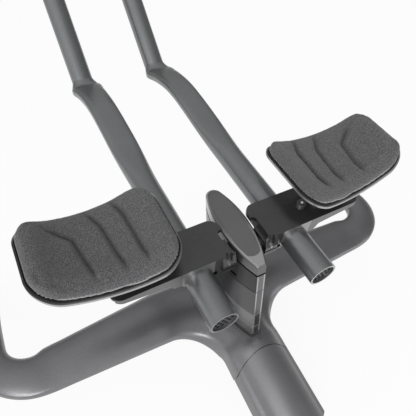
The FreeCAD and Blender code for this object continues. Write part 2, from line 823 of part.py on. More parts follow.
SEAT = "bar_top + seat_step"
post_foot = post_block("post_foot", SEAT, "foot_height")
spacer_low = post_block("spacer_low", SEAT + " + foot_height", "low_height")
spacer_mid = post_block("spacer_mid", SEAT + " + foot_height + low_height", "mid_height")
spacer_high = post_block("spacer_high", SEAT + " + foot_height + low_height + mid_height", "high_height")
HEAD = SEAT + " + foot_height + low_height + mid_height + high_height"
HEAD_Z = SEAT_Z + sum(size(name) for name in ("foot_height", "low_height", "mid_height", "high_height"))
GAP_LOW = size("shaft_height") - size("head_gap") / 2
GAP_HIGH = size("shaft_height") + size("head_gap") / 2
HUGE = size("horn_spacing")
HEAD_TO_INSERT = "post_bolt_seat + foot_height + low_height + mid_height + high_height + insert_length - 2"


def slab(name, low, top_drop):
    """A plate in the tilted frame: flat below, with the cap's long crown above."""
    width = 4 * size("inlay_width")
    side = -width / 2
    level = size("shaft_height") - top_drop
    rear = Vector(side, 0, level + size("cap_rear_height"))
    crown = Vector(side, size("cap_crown_at"), level + size("cap_crown_height"))
    front = Vector(side, 2 * size("cap_crown_at"), level + size("cap_front_height"))
    floor_rear = Vector(side, rear.y, low)
    floor_front = Vector(side, front.y, low)
    edges = [
        Part.LineSegment(floor_rear, floor_front).toShape(),
        Part.LineSegment(floor_front, front).toShape(),
        Part.Arc(front, crown, rear).toShape(),
        Part.LineSegment(rear, floor_rear).toShape(),
    ]
    shape = Part.Face(Part.Wire(edges)).extrude(Vector(width, 0, 0))
    return solid_feature(name, shape, tilt_frame)


def shaft_cylinder(name, grow):
    """The cross shaft, or the room for it when it is grown."""
    length = 2 * (size("eye_inner") + size("eye_width"))
    spot = tilted(-length / 2, size("shaft_along"), size("shaft_height"), ALONG_X)
    return primitive("Cylinder", name, spot, Radius="shaft_dia / 2 + " + grow,
                     Height="2 * ( eye_inner + eye_width )")


def port_tool():
    """A teardrop opening across the post head."""
    half = size("port_width") / 2
    length = size("port_length")
    edges = [
        Part.Arc(Vector(0, 0, -half), Vector(0, -half, 0), Vector(0, 0, half)).toShape(),
        Part.LineSegment(Vector(0, 0, half), Vector(0, length, 0)).toShape(),
        Part.LineSegment(Vector(0, length, 0), Vector(0, 0, -half)).toShape(),
    ]
    shape = Part.Face(Part.Wire(edges)).extrude(Vector(4 * size("post_nose_radius"), 0, 0))
    spot = Placement(Vector(-2 * size("post_nose_radius"), size("port_along") - length / 2,
                            HEAD_Z + size("port_height")), Rotation())
    return solid_feature("port_tool", shape, spot)


def counterbore(name, y):
    """Room for the head of one long bolt, open to the top of the post head."""
    spot = Placement(Vector(0, y, HEAD_Z + size("post_bolt_seat")), Rotation())
    return primitive("Cylinder", name, spot, Radius="post_bolt_dia * 0.875 + fit_gap", Height="post_chord")


def cap_bolt_spot(name, depth):
    """The head seat of one cap bolt, in the tilted frame."""
    return tilted(0, size(name), size("shaft_height") + size("cap_rear_height") - depth)


def cap_bolt_room(name, where):
    """Shank and head room of one cap bolt."""
    depth = CAP_BOLT_DEPTH
    shank = primitive("Cylinder", name + "_shank", cap_bolt_spot(where, depth + size("cap_bolt_length")),
                      Radius="cap_bolt_dia / 2 + fit_gap", Height="cap_bolt_length + cap_crown_height")
    head = primitive("Cylinder", name + "_head", cap_bolt_spot(where, depth),
                     Radius="cap_bolt_dia * 0.875 + fit_gap", Height="cap_crown_height")
    return [shank, head]


CAP_BOLT_DEPTH = 2.9
head_blank = post_block("post_head_blank", HEAD, "post_chord / 2")
above_head = primitive("Box", "above_head", tilted(-HUGE / 2, -HUGE / 2, GAP_LOW),
                       Length="horn_spacing", Width="horn_spacing", Height="horn_spacing")
cap_bolt_rooms = cap_bolt_room("cap_room_rear", "cap_bolt_rear")
cap_bolt_rooms += cap_bolt_room("cap_room_front", "cap_bolt_front")
shaft_room = shaft_cylinder("shaft_room", "fit_gap")
post_head = cut("post_head", head_blank, above_head, shaft_room, port_tool(),
                counterbore("sink_rear", POST_BOLTS[0]), counterbore("sink_front", POST_BOLTS[1]),
                cap_bolt_rooms[0], cap_bolt_rooms[2])

post_bolts = group("post_bolts", *[
    socket_bolt("post_bolt_%d" % n, "post_bolt_dia", HEAD_TO_INSERT,
                Placement(Vector(0, y, HEAD_Z + size("post_bolt_seat")), Rotation()))
    for n, y in enumerate(POST_BOLTS)])


def insert(name, y):
    """A threaded sleeve sunk in the bar under the post."""
    spot = Placement(Vector(0, y, SEAT_Z - size("insert_length")), Rotation())
    sleeve = primitive("Cylinder", name + "_sleeve", spot, Radius="insert_dia / 2 - fit_gap / 2",
                       Height="insert_length")
    bore = primitive("Cylinder", name + "_bore", spot, Radius="post_bolt_dia / 2 + fit_gap / 2",
                     Height="insert_length")
    return cut(name, sleeve, bore)


post_inserts = group("post_inserts", *[insert("insert_%d" % n, y) for n, y in enumerate(POST_BOLTS)])


def inlay_prism(name, grow):
    """The long pill on top of the cap: the cap's outline drawn in, with round ends."""
    radius = size("inlay_width") / 2 + grow
    rear = size("inlay_rear") - grow
    front = size("inlay_front") + grow
    corners = [Vector(x, y, 0) for x, y in ((-radius, rear + radius), (-radius, front - radius),
                                            (radius, front - radius), (radius, rear + radius))]
    edges = [
        Part.LineSegment(corners[0], corners[1]).toShape(),
        Part.Arc(corners[1], Vector(0, front, 0), corners[2]).toShape(),
        Part.LineSegment(corners[2], corners[3]).toShape(),
        Part.Arc(corners[3], Vector(0, rear, 0), corners[0]).toShape(),
    ]
    tall = Vector(0, 0, 6 * size("cap_crown_height"))
    pill = Part.Face(Part.Wire(edges)).extrude(tall)
    plan = teardrop_face(grow - size("inlay_border")).extrude(tall)
    return solid_feature(name, pill.common(plan), Placement(Vector(0, 0, HEAD_Z), Rotation()))


def common(label, *shapes):
    """What several shapes share."""
    obj = doc.addObject("Part::MultiCommon", label)
    obj.Label = label
    obj.Shapes = list(shapes)
    return obj


cap_body = new_body("cap_plan")
pad(cap_body, teardrop_sketch(cap_body, "cap_outline"), "cap_pad", "post_chord")
bind(cap_body, "Placement.Base.z", HEAD)
cap_block = common("cap_block", cap_body, slab("cap_slab", GAP_HIGH, 0))
doc.recompute()


def crown_edges(shape):
    """Edges round the crowned top of the cap."""
    found = []
    inverse = tilt_frame.inverse()
    limit = GAP_HIGH + 0.6 * (size("cap_rear_height") - size("head_gap"))
    for index, edge in enumerate(shape.Edges, 1):
        heights = [inverse.multVec(v.Point).z for v in edge.Vertexes]
        if min(heights) > limit:
            found.append((index, size("cap_edge_radius"), size("cap_edge_radius")))
    return found


cap_rounded = doc.addObject("Part::Fillet", "cap_rounded")
cap_rounded.Base = cap_block
cap_rounded.Edges = crown_edges(cap_block.Shape)
recess_block = common("recess_block", inlay_prism("recess_oval", FIT), slab("recess_top", 0, -9))
inlay_recess = cut("inlay_recess", recess_block, slab("recess_floor", 0, size("inlay_depth")))
cap_seated = cut("cap_seated", cap_rounded, shaft_room)
cap_drilled = cut("cap_drilled", cut("cap_recessed", cap_seated, inlay_recess), *cap_bolt_rooms[:2])
head_cap = cut("head_cap", cap_drilled, *cap_bolt_rooms[2:])
cap_inlay = cut("cap_inlay", common("inlay_block", inlay_prism("inlay_oval", 0), slab("inlay_top", 0, 0)),
                slab("inlay_floor", 0, size("inlay_depth")))
cap_bolts = group("cap_bolts", *[
    socket_bolt("cap_bolt_%d" % n, "cap_bolt_dia", "cap_bolt_length", cap_bolt_spot(where, CAP_BOLT_DEPTH))
    for n, where in enumerate(("cap_bolt_rear", "cap_bolt_front"))])
tilt_shaft = shaft_cylinder("tilt_shaft", "0 * fit_gap")
tilt_shaft.Label = "tilt_shaft"

# wings, straps and their bolts, right side first

WING_TOP = "extension_dia / 2 + fit_gap + wing_thickness"
TUBE_IN = "extension_spacing / 2 - extension_dia / 2 - fit_gap"
CHEEK_IN = TUBE_IN + " - cheek_width"
CHEEK_OUT = "extension_spacing / 2 + extension_dia / 2 + fit_gap + cheek_width"
WING_MIDDLE = "wing_rear + wing_length / 2"
EYE_RADIUS = "shaft_dia / 2 + fit_gap + eye_wall"
PINCH_Y = "shaft_along - shaft_dia / 2 - fit_gap - pinch_bolt_dia / 2 - 0.8"
EAR_REAR = "shaft_along - shaft_dia / 2 - fit_gap - pinch_bolt_dia - ear_wall"
STRAP_BOLT_X = "extension_spacing / 2 + extension_dia / 2 + fit_gap + cheek_width / 2"
wing_top = sheet.evalExpression(WING_TOP)
wing_middle = sheet.evalExpression(WING_MIDDLE)


def make_wing_body():
    """Plate with a tapering rear lip, cheeks beside the tube, and a slit eye on the shaft."""
    body = new_body("wing_body", tilt_frame)
    under = WING_TOP + " - wing_thickness"
    plate = polygon_sketch(body, "XZ_Plane", "wing_plate", [
        ("eye_inner", WING_TOP),
        ("wing_span", WING_TOP),
        ("wing_span", WING_TOP + " - wing_thickness * 0.6"),
        (CHEEK_OUT + " + 6", under),
        (CHEEK_OUT, "split_gap"),
        (TUBE_IN, "split_gap"),
        (TUBE_IN, "-1 * cheek_drop"),
        (CHEEK_IN, "-1 * cheek_drop"),
        (CHEEK_IN, under),
        ("eye_inner", under),
    ])
    offset_sketch(plate, "-1 * wing_rear")
    pad(body, plate, "wing_pad", "wing_length", True)
    lip = polygon_sketch(body, "XZ_Plane", "wing_lip", [
        (CHEEK_OUT + " - 2", WING_TOP + " - 1"),
        ("wing_span", WING_TOP + " - 1"),
        ("wing_span", WING_TOP + " - wing_thickness"),
        (CHEEK_OUT + " + 3", WING_TOP + " - lip_height"),
        (CHEEK_OUT + " - 2", WING_TOP + " - lip_height"),
    ])
    offset_sketch(lip, "-1 * wing_rear")
    pad(body, lip, "lip_pad", "lip_thickness", True)
    ear = polygon_sketch(body, "YZ_Plane", "wing_ear", [
        (EAR_REAR, "shaft_height - ear_height / 2"),
        ("shaft_along", "shaft_height - ear_height / 2"),
        ("shaft_along + shaft_dia / 2", "shaft_height"),
        (WING_MIDDLE, WING_TOP + " - 1"),
        ("wing_rear + 0.5", WING_TOP + " - 1"),
        (EAR_REAR, "shaft_height + ear_height / 2"),
    ])
    offset_sketch(ear, "eye_inner")
    pad(body, ear, "ear_pad", "eye_width")
    eye = round_sketch(body, "YZ_Plane", "wing_eye", [(EYE_RADIUS, "shaft_along", "shaft_height")])
    offset_sketch(eye, "eye_inner")
    pad(body, eye, "eye_pad", "eye_width")
    tube = round_sketch(body, "XZ_Plane", "tube_room",
                        [("extension_dia / 2 + fit_gap", "extension_spacing / 2", "0 * extension_dia")])
    pocket(body, tube, "tube_pocket")
    bore = round_sketch(body, "YZ_Plane", "shaft_bore",
                        [("shaft_dia / 2 + fit_gap", "shaft_along", "shaft_height")])
    offset_sketch(bore, "eye_inner - 1")
    pocket(body, bore, "shaft_pocket", "eye_width + 1", True)
    slit = polygon_sketch(body, "YZ_Plane", "eye_slit_outline", [
        (EAR_REAR + " - 1", "shaft_height - eye_slit / 2"),
        ("shaft_along", "shaft_height - eye_slit / 2"),
        ("shaft_along", "shaft_height + eye_slit / 2"),
        (EAR_REAR + " - 1", "shaft_height + eye_slit / 2"),
    ])
    offset_sketch(slit, "eye_inner - 1")
    pocket(body, slit, "slit_pocket", "eye_width + 1.5", True)
    holes = [("pinch_bolt_dia / 2 + fit_gap", "eye_inner + eye_width / 2", PINCH_Y),
             ("strap_bolt_dia / 2 + fit_gap", STRAP_BOLT_X, WING_MIDDLE),
             ("cup_bolt_dia / 2 + fit_gap", "cup_bolt_inner", WING_MIDDLE),
             ("cup_bolt_dia / 2 + fit_gap", "cup_bolt_outer", WING_MIDDLE)]
    pocket(body, round_sketch(body, "XY_Plane", "wing_holes", holes), "hole_pocket")
    return body


wing_body = make_wing_body()


def notch_tool():
    """The long rounded notch in the plate's inner edge, beside the cap."""
    x = size("eye_inner") + size("notch_from_root")
    start = size("wing_rear") + size("wing_length") - size("wing_corner") - size("notch_length")
    low = wing_top - size("wing_thickness") * 1.125
    box = primitive("Box", "notch_box", tilted(x - size("notch_width") / 2, start, low),
                    Length="notch_width", Width="notch_length - notch_width", Height="wing_thickness * 1.5")
    ends = [primitive("Cylinder", "notch_end_%d" % n, tilted(x, y, low), Radius="notch_width / 2",
                      Height="wing_thickness * 1.5")
            for n, y in enumerate((start, start + size("notch_length") - size("notch_width")))]
    return fuse("notch_tool", box, *ends)


def tongue_room():
    """The groove in the inner cheek that the strap hooks into."""
    spot = tilted(sheet.evalExpression(CHEEK_IN) + size("cheek_width") / 2, size("wing_rear") - 1,
                  -size("strap_lug_height") - size("split_gap"))
    return primitive("Box", "tongue_room", spot, Length="cheek_width", Width="wing_length + 2",
                     Height="strap_lug_height + split_gap")


def pinch_head_room():
    """The pocket over the pinch bolt."""
    spot = tilted(sheet.evalExpression("eye_inner + eye_width / 2"), sheet.evalExpression(PINCH_Y),
                  size("shaft_height") + PINCH_SEAT)
    return primitive("Cylinder", "pinch_head_room", spot, Radius="pinch_bolt_dia * 0.875 + fit_gap",
                     Height="wing_thickness * 4")


PINCH_SEAT = size("ear_height") / 2 - 1.5
doc.recompute()
wing_cut = cut("wing_cut", wing_body, notch_tool(), tongue_room(), pinch_head_room())
doc.recompute()


def upright_edges(shape, spots):
    """Edges square to the plate at the given places of the tilted frame."""
    inverse = tilt_frame.inverse()
    found = []
    for index, edge in enumerate(shape.Edges, 1):
        ends = [inverse.multVec(v.Point) for v in edge.Vertexes]
        for x, y in spots:
            if len(ends) == 2 and all(abs(e.x - x) < 0.01 and abs(e.y - y) < 0.01 for e in ends):
                found.append((index, size("wing_corner"), size("wing_corner")))
    return found


wing_front = size("wing_rear") + size("wing_length")
right_wing = doc.addObject("Part::Fillet", "right_wing")
right_wing.Label = "right_wing"
right_wing.Base = wing_cut
wing_corners = [(size("eye_inner"), wing_front), (size("wing_span"), wing_front)]
wing_corners.append((size("wing_span"), size("wing_rear")))
right_wing.Edges = upright_edges(wing_cut.Shape, wing_corners)
left_wing = mirrored("left_wing", right_wing)

pinch_bolt = socket_bolt("pinch_bolt", "pinch_bolt_dia", "pinch_bolt_length",
                         tilted(sheet.evalExpression("eye_inner + eye_width / 2"),
                                sheet.evalExpression(PINCH_Y), size("shaft_height") + PINCH_SEAT))
wing_pinch_bolts = group("wing_pinch_bolts", pinch_bolt, mirrored("pinch_bolt_left", pinch_bolt))


def make_strap():
    """Half shell under the tube, with a bolted lug outside and a hooked tongue inside."""
    length = "strap_length"
    start = wing_middle - size("strap_length") / 2
    outer = primitive("Cylinder", "strap_outside", tilted(TUBE_X, start, 0, ALONG_Y),
                      Radius="extension_dia / 2 + fit_gap + strap_wall", Height=length)
    lug_z = -size("strap_lug_height") - FIT
    lug_reach = CHEEK_OUT + " - extension_spacing / 2"
    lug = primitive("Box", "strap_lug", tilted(TUBE_X, start, lug_z), Length=lug_reach, Width=length,
                    Height="strap_lug_height")
    tongue_x = sheet.evalExpression(CHEEK_IN) + size("cheek_width") / 2 + FIT
    tongue = primitive("Box", "strap_tongue", tilted(tongue_x, start, lug_z - FIT),
                       Length="extension_dia / 2 + fit_gap + cheek_width / 2", Width=length,
                       Height="strap_lug_height")
    room = primitive("Cylinder", "strap_room", tilted(TUBE_X, start - 1, 0, ALONG_Y),
                     Radius="extension_dia / 2 + fit_gap", Height=length + " + 2")
    above_corner = tilted(TUBE_X - HUGE / 2, start - 1, -FIT)
    above = primitive("Box", "strap_above", above_corner, Length="horn_spacing",
                      Width=length + " + 2", Height="extension_dia")
    hole = primitive("Cylinder", "strap_hole", tilted(sheet.evalExpression(STRAP_BOLT_X), wing_middle,
                                                      2 * lug_z), Radius="strap_bolt_dia / 2 + fit_gap",
                     Height="extension_dia")
    cheek_x = tongue_x - FIT - size("cheek_width") / 2
    cheek = primitive("Box", "strap_cheek_room", tilted(cheek_x, start - 1, -2 * TUBE_R),
                      Length="cheek_width + fit_gap", Width=length + " + 2",
                      Height="extension_dia - strap_lug_height - fit_gap * 2")
    return cut("right_extension_strap", fuse("strap_blank", outer, lug, tongue), room, above, hole, cheek)


right_extension_strap = make_strap()
left_extension_strap = mirrored("left_extension_strap", right_extension_strap)
strap_bolt = socket_bolt("strap_bolt", "strap_bolt_dia", WING_TOP + " + strap_lug_height + 1",
                         tilted(sheet.evalExpression(STRAP_BOLT_X), wing_middle, wing_top),
                         head_dia="1.9", head_height="0.6")
strap_bolts = group("strap_bolts", strap_bolt, mirrored("strap_bolt_left", strap_bolt))


# extensions

OVAL_POINTS = 24
TUBE_STEPS = 9
FLARE_STEPS = 6
BLADE_STEPS = 9
BLADE_FLARE = 62.0
END_LENGTH = 12.0


def oval(y, z, slope, width, thickness, power):
    """A rounded section of the extension, square to its path."""
    points = []
    for step in range(OVAL_POINTS):
        angle = 2 * math.pi * step / OVAL_POINTS
        along, up = math.cos(angle), math.sin(angle)
        x = math.copysign(abs(along) ** (2 / power), along) * width / 2
        lift = math.copysign(abs(up) ** (2 / power), up) * thickness / 2
        points.append(Vector(TUBE_X + x, y - lift * math.sin(slope), z + lift * math.cos(slope)))
    return closed_curve(points)


def hermite(y, start, stop):
    """Height and slope on a cubic between two (place, height, slope) ends."""
    (y0, z0, m0), (y1, z1, m1) = start, stop
    run = y1 - y0
    u = (y - y0) / run
    height = (z0 * (1 - 3 * u * u + 2 * u ** 3) + run * m0 * (u - 2 * u * u + u ** 3)
              + z1 * (3 * u * u - 2 * u ** 3) + run * m1 * (u ** 3 - u * u))
    slope = ((z1 - z0) * (6 * u - 6 * u * u) / run + m0 * (1 - 4 * u + 3 * u * u) + m1 * (3 * u * u - 2 * u))
    return height, math.atan(slope)


def blade_path(y):
    """Height and slope of the extension's middle line."""
    start = (size("extension_straight"), 0.0, 0.0)
    crest = (size("blade_crest_at"), size("blade_crest_rise"), 0.0)
    end = (size("blade_end_at"), -size("blade_end_drop"), -math.tan(math.radians(size("blade_end_slope"))))
    if y <= start[0]:
        return 0.0, 0.0
    return hermite(y, start, crest) if y < crest[0] else hermite(y, crest, end)


def extension_curves():
    """Round tube, flare, flat blade, and a rounded end."""
    dia = size("extension_dia")
    straight = size("extension_straight")
    end = size("blade_end_at")
    curves = [oval(straight * step / TUBE_STEPS, 0, 0, dia, dia, 2.0) for step in range(TUBE_STEPS + 1)]
    for share in shares(FLARE_STEPS):
        ease = share * share * (3 - 2 * share)
        y = straight + BLADE_FLARE * share
        z, slope = blade_path(y)
        curves.append(oval(y, z, slope, blend(dia, size("blade_width"), ease),
                           blend(dia, size("blade_thickness"), ease), 2 + ease))
    first = straight + BLADE_FLARE
    for share in shares(BLADE_STEPS):
        y = blend(first, end - END_LENGTH, share)
        z, slope = blade_path(y)
        width = blend(size("blade_width"), size("blade_end_width"), share ** 4)
        curves.append(oval(y, z, slope, width, size("blade_thickness"), 3.0))
    for share in (0.4, 0.75, 0.95):
        y = end - END_LENGTH * (1 - share)
        z, slope = blade_path(y)
        shrink = math.sqrt(1 - (share * 0.97) ** 2)
        curves.append(oval(y, z, slope, blend(0.45, 1, shrink) * size("blade_end_width"),
                           blend(0.75, 1, shrink) * size("blade_thickness"), 3.0))
    return curves


def make_extension():
    """The skinned blade, with a round grip rising from its end and both ends bored."""
    blade = skin(extension_curves())
    end_z, _ = blade_path(size("blade_end_at"))
    knee = Vector(TUBE_X, size("blade_end_at") + size("grip_heel"),
                  end_z + TUBE_R - size("blade_thickness") / 2 - size("grip_heel"))
    lift = math.radians(size("grip_angle"))
    direction = Vector(0, math.cos(lift), math.sin(lift))
    bore_r = TUBE_R - size("extension_wall")
    grip = Part.makeCylinder(TUBE_R, size("grip_length"), knee, direction)
    ball = Part.makeSphere(TUBE_R, knee)
    rear_depth = size("extension_straight") - size("rear_bore_stop")
    front_depth = size("grip_length") - size("front_bore_stop")
    rear_bore = Part.makeCylinder(bore_r, rear_depth, Vector(TUBE_X, 0, 0), Vector(0, 1, 0))
    front_bore = Part.makeCylinder(bore_r, front_depth, knee + direction * size("front_bore_stop"), direction)
    return blade.fuse(ball).fuse(grip).cut(rear_bore).cut(front_bore)


right_extension = solid_feature("right_extension", make_extension(), tilt_frame)
left_extension = mirrored("left_extension", right_extension)


def make_end_plug():
    """A perforated disc: rings of holes about the middle one."""
    frame = tilted(TUBE_X, size("plug_recess"), 0, ALONG_Y)
    body = new_body("right_end_plug", frame)
    centred = "0 * plug_recess"
    disc_radius = "extension_dia / 2 - extension_wall - fit_gap"
    disc = round_sketch(body, "XY_Plane", "plug_disc", [(disc_radius, centred, centred)])
    pad(body, disc, "plug_pad", "plug_thickness")
    rings = (("middle", "0", 1), ("inner", "plug_hole_pitch", 6), ("outer", "plug_hole_pitch * 2", 6),
             ("between", "plug_hole_pitch * 1.732", 6))
    for name, radius, count in rings:
        shift = (radius + " * 1", centred)
        if name == "between":
            shift = (centred, radius + " * 1")
        hole = round_sketch(body, "XY_Plane", "plug_" + name, [("plug_hole_dia / 2", shift[0], shift[1])])
        drilled = pocket(body, hole, "drilled_" + name)
        if count > 1:
            doc.recompute()
            ring = body.newObject("PartDesign::PolarPattern", "ring_" + name)
            ring.Originals = [drilled]
            ring.Axis = (hole, ["N_Axis"])
            ring.Angle = 360
            ring.Occurrences = count
            body.Tip = ring
    return body


right_end_plug = make_end_plug()
left_end_plug = mirrored("left_end_plug", right_end_plug)


# arm cups, hook layers and pads, in layers that follow one scooped profile

LOW_X = size("pad_low_line")
LAYER_NAMES = ("cup_wall", "soft_gap", "backing_thickness", "soft_gap", "pad_thickness")
LAYERS = [size(name) for name in LAYER_NAMES]
CUP_TOP = LAYERS[0]
BACKING_LOW = CUP_TOP + LAYERS[1]
BACKING_TOP = BACKING_LOW + LAYERS[2]
PAD_LOW = BACKING_TOP + LAYERS[3]
PAD_TOP = PAD_LOW + LAYERS[4]
CUP_Z = wing_top + size("cup_standoff")


def scoop_radius(edge, rise):
    """Radius of the scoop at the pad's top, from its rise at one edge."""
    run = abs(size(edge) - LOW_X)
    return (run * run + size(rise) ** 2) / (2 * size(rise))


OUTER_SCOOP = scoop_radius("pad_outer", "pad_outer_rise")
INNER_SCOOP = scoop_radius("pad_inner", "pad_inner_rise")


def scoop_point(x, level, y=0.0):
    """The point over x on the scooped surface that lies a level above the cup's underside."""
    radius = (OUTER_SCOOP if x > LOW_X else INNER_SCOOP) + PAD_TOP - level
    lift = radius - math.sqrt(radius * radius - (x - LOW_X) ** 2)
    return Vector(x, y, CUP_Z + level + lift)


def scoop_layer(low, high):
    """An endless sheet between two levels of the scoop."""
    reach = size("pad_outer") - LOW_X + 4 * size("cup_margin")
    back = LOW_X - size("pad_inner") + 4 * size("cup_margin")
    edges = []
    rims = []
    for level in (low, high):
        middle = scoop_point(LOW_X, level)
        ends = []
        for span in (reach, -back):
            ends.append(scoop_point(LOW_X + span, level))
            edges.append(Part.Arc(middle, scoop_point(LOW_X + span / 2, level), ends[-1]).toShape())
        rims.append(ends)
    for lower, upper in zip(*rims):
        edges.append(Part.LineSegment(lower, upper).toShape())
    face = Part.Face(Part.Wire(Part.sortEdges(edges)[0]))
    return face.extrude(Vector(0, 2 * size("pad_front"), 0))


def pad_outline(grow):
    """The pad's plan as a tall prism, grown or shrunk evenly."""
    rear, front = size("pad_rear"), size("pad_front")
    inner, outer = size("pad_inner"), size("pad_outer")
    corners = [Vector(inner, rear, 0), Vector(outer, rear + size("pad_rear_skew"), 0),
               Vector(outer, front - size("pad_front_skew"), 0), Vector(inner, front, 0)]
    tall = Vector(0, 0, 4 * (CUP_Z + PAD_TOP))
    prism = Part.Face(Part.makePolygon(corners + corners[:1])).extrude(tall)
    upright = [edge for edge in prism.Edges if abs(edge.tangentAt(edge.FirstParameter).z) > 0.9]
    rounded = prism.makeFillet(size("pad_corner"), upright)
    plan = min(rounded.Faces, key=lambda face: face.CenterOfMass.z)
    if grow:
        plan = plan.makeOffset2D(grow)
    return plan.extrude(tall)


def groove(points):
    """A round-bottomed crease pressed into the pad along a bent line."""
    radius = size("groove_radius")
    lift = Vector(0, 0, radius - size("groove_depth"))
    spots = [scoop_point(x, PAD_TOP, y) + lift for x, y in points]
    shapes = [Part.makeSphere(radius, spot) for spot in spots]
    for start, stop in zip(spots, spots[1:]):
        run = stop - start
        shapes.append(Part.makeCylinder(radius, run.Length, start, run))
    return shapes[0].multiFuse(shapes[1:])


def groove_lines():
    """Three creases that fan out forward: front end, kink and rear end of each."""
    width = size("pad_outer") - size("pad_inner")
    length = size("pad_front") - size("pad_rear")
    lines = []
    for shares_of_pad in (((0.809, 0.747), (0.665, 0.600), (0.608, 0.141)),
                          ((0.510, 0.867), (0.442, 0.679), (0.395, 0.130)),
                          ((0.301, 0.907), (0.254, 0.715), (0.231, 0.137))):
        lines.append([(size("pad_inner") + width * u, size("pad_rear") + length * v)
                      for u, v in shares_of_pad])
    return lines


def make_arm_pad():
    """The pad: scooped top with a rolled rim and three creases."""
    block = scoop_layer(PAD_LOW, PAD_TOP).common(pad_outline(0))
    block = block.removeSplitter()
    rim = []
    for edge in block.Edges:
        spot = edge.valueAt((edge.FirstParameter + edge.LastParameter) / 2)
        on_top = abs(spot.z - scoop_point(spot.x, PAD_TOP).z) < 0.01
        inside = all(abs(v.X - LOW_X) < 0.01 for v in edge.Vertexes)
        if on_top and not inside:
            rim.append(edge)
    return block.makeFillet(size("pad_edge_radius"), rim).cut(
        Part.makeCompound([groove(line) for line in groove_lines()]))


CUP_BOLT_X = [size(name) for name in ("cup_bolt_inner", "cup_bolt_outer")]
CUP_BOLT_SEAT = CUP_Z + CUP_TOP - size("cup_bolt_dia")


def make_arm_cup():
    """The shell under the pad, with two bosses that stand on the wing."""
    shell = scoop_layer(0, CUP_TOP).common(pad_outline(size("cup_margin")))
    for x in CUP_BOLT_X:
        foot = Vector(x, wing_middle, wing_top)
        boss_height = size("cup_standoff") + CUP_TOP / 2
        shell = shell.fuse(Part.makeCylinder(size("cup_boss_dia") / 2, boss_height, foot))
    for x in CUP_BOLT_X:
        foot = Vector(x, wing_middle, 0)
        shell = shell.cut(Part.makeCylinder(size("cup_bolt_dia") / 2 + FIT, 2 * CUP_Z, foot))
        seat = Vector(x, wing_middle, CUP_BOLT_SEAT)
        shell = shell.cut(Part.makeCylinder(size("cup_bolt_dia") * 0.875 + FIT, CUP_Z, seat))
    return shell.removeSplitter()


right_arm_cup = solid_feature("right_arm_cup", make_arm_cup(), tilt_frame)
left_arm_cup = mirrored("left_arm_cup", right_arm_cup)
right_pad_backing = solid_feature(
    "right_pad_backing",
    scoop_layer(BACKING_LOW, BACKING_TOP).common(pad_outline(size("backing_margin"))), tilt_frame)
left_pad_backing = mirrored("left_pad_backing", right_pad_backing)
right_arm_pad = solid_feature("right_arm_pad", make_arm_pad(), tilt_frame)
left_arm_pad = mirrored("left_arm_pad", right_arm_pad)
cup_bolts_right = [socket_bolt("cup_bolt_%d" % n, "cup_bolt_dia", "cup_bolt_length",
                               tilted(x, wing_middle, CUP_BOLT_SEAT)) for n, x in enumerate(CUP_BOLT_X)]
cup_bolts = group("cup_bolts", *cup_bolts_right,
                  *[mirrored(bolt.Name + "_left", bolt) for bolt in cup_bolts_right])

# checks and files

NODES = [base_bar, stem_cover, steerer_clamp_bolts, post_foot, spacer_low, spacer_mid, spacer_high,
         post_head, post_bolts, post_inserts, head_cap, cap_inlay, cap_bolts, tilt_shaft,
         left_wing, right_wing, wing_pinch_bolts, left_extension_strap, right_extension_strap, strap_bolts,
         left_extension, right_extension, left_end_plug, right_end_plug,
         left_arm_cup, right_arm_cup, cup_bolts, left_pad_backing, right_pad_backing,
         left_arm_pad, right_arm_pad]

doc.recompute()
for obj in doc.Objects:
    if "Invalid" in obj.State or "Error" in obj.State:
        raise RuntimeError("%s did not build: %s" % (obj.Label, obj.State))
for node in NODES:
    if node.Shape.isNull() or not node.Shape.isValid() or not node.Shape.Solids:
        raise RuntimeError("%s has no valid solid" % node.Label)

os.makedirs("parts", exist_ok=True)
for node in NODES:
    node.Shape.exportStep("parts/%s.step" % node.Label)
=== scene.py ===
"""A time trial handlebar: moulded base bar, bladed riser post, clamp wings, extensions and arm pads.

Metres. +X right, +Y forward, +Z up. The origin is the middle of the steerer clamp.
"""

import json
import logging
import math
from dataclasses import dataclass, field
from enum import Enum

import bmesh
import bpy
import numpy
from bpy.types import ID, Material, Mesh, Node, NodeOutputs, NodeSocket, NodeTree, Object
from mathutils import Matrix, Vector
from mathutils.bvhtree import BVHTree


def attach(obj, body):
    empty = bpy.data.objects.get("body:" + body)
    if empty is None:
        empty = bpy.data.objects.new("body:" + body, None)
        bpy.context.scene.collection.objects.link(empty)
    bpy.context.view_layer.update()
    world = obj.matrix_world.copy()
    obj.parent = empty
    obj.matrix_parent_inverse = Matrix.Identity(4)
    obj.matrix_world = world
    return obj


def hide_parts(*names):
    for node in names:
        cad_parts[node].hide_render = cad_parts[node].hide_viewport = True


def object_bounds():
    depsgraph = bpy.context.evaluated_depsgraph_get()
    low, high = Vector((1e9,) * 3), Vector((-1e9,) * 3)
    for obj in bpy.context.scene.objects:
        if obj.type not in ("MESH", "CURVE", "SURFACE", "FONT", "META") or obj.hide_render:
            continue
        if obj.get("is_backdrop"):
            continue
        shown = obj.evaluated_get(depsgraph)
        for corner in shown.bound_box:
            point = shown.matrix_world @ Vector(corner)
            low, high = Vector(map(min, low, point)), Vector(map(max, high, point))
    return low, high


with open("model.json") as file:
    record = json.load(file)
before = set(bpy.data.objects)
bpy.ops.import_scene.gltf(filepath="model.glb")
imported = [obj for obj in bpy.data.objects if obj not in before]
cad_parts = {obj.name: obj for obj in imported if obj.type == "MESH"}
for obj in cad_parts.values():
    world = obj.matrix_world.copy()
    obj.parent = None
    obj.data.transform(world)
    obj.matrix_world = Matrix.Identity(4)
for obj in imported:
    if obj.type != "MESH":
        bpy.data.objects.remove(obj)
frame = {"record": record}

log = logging.getLogger("time_trial_handlebar")

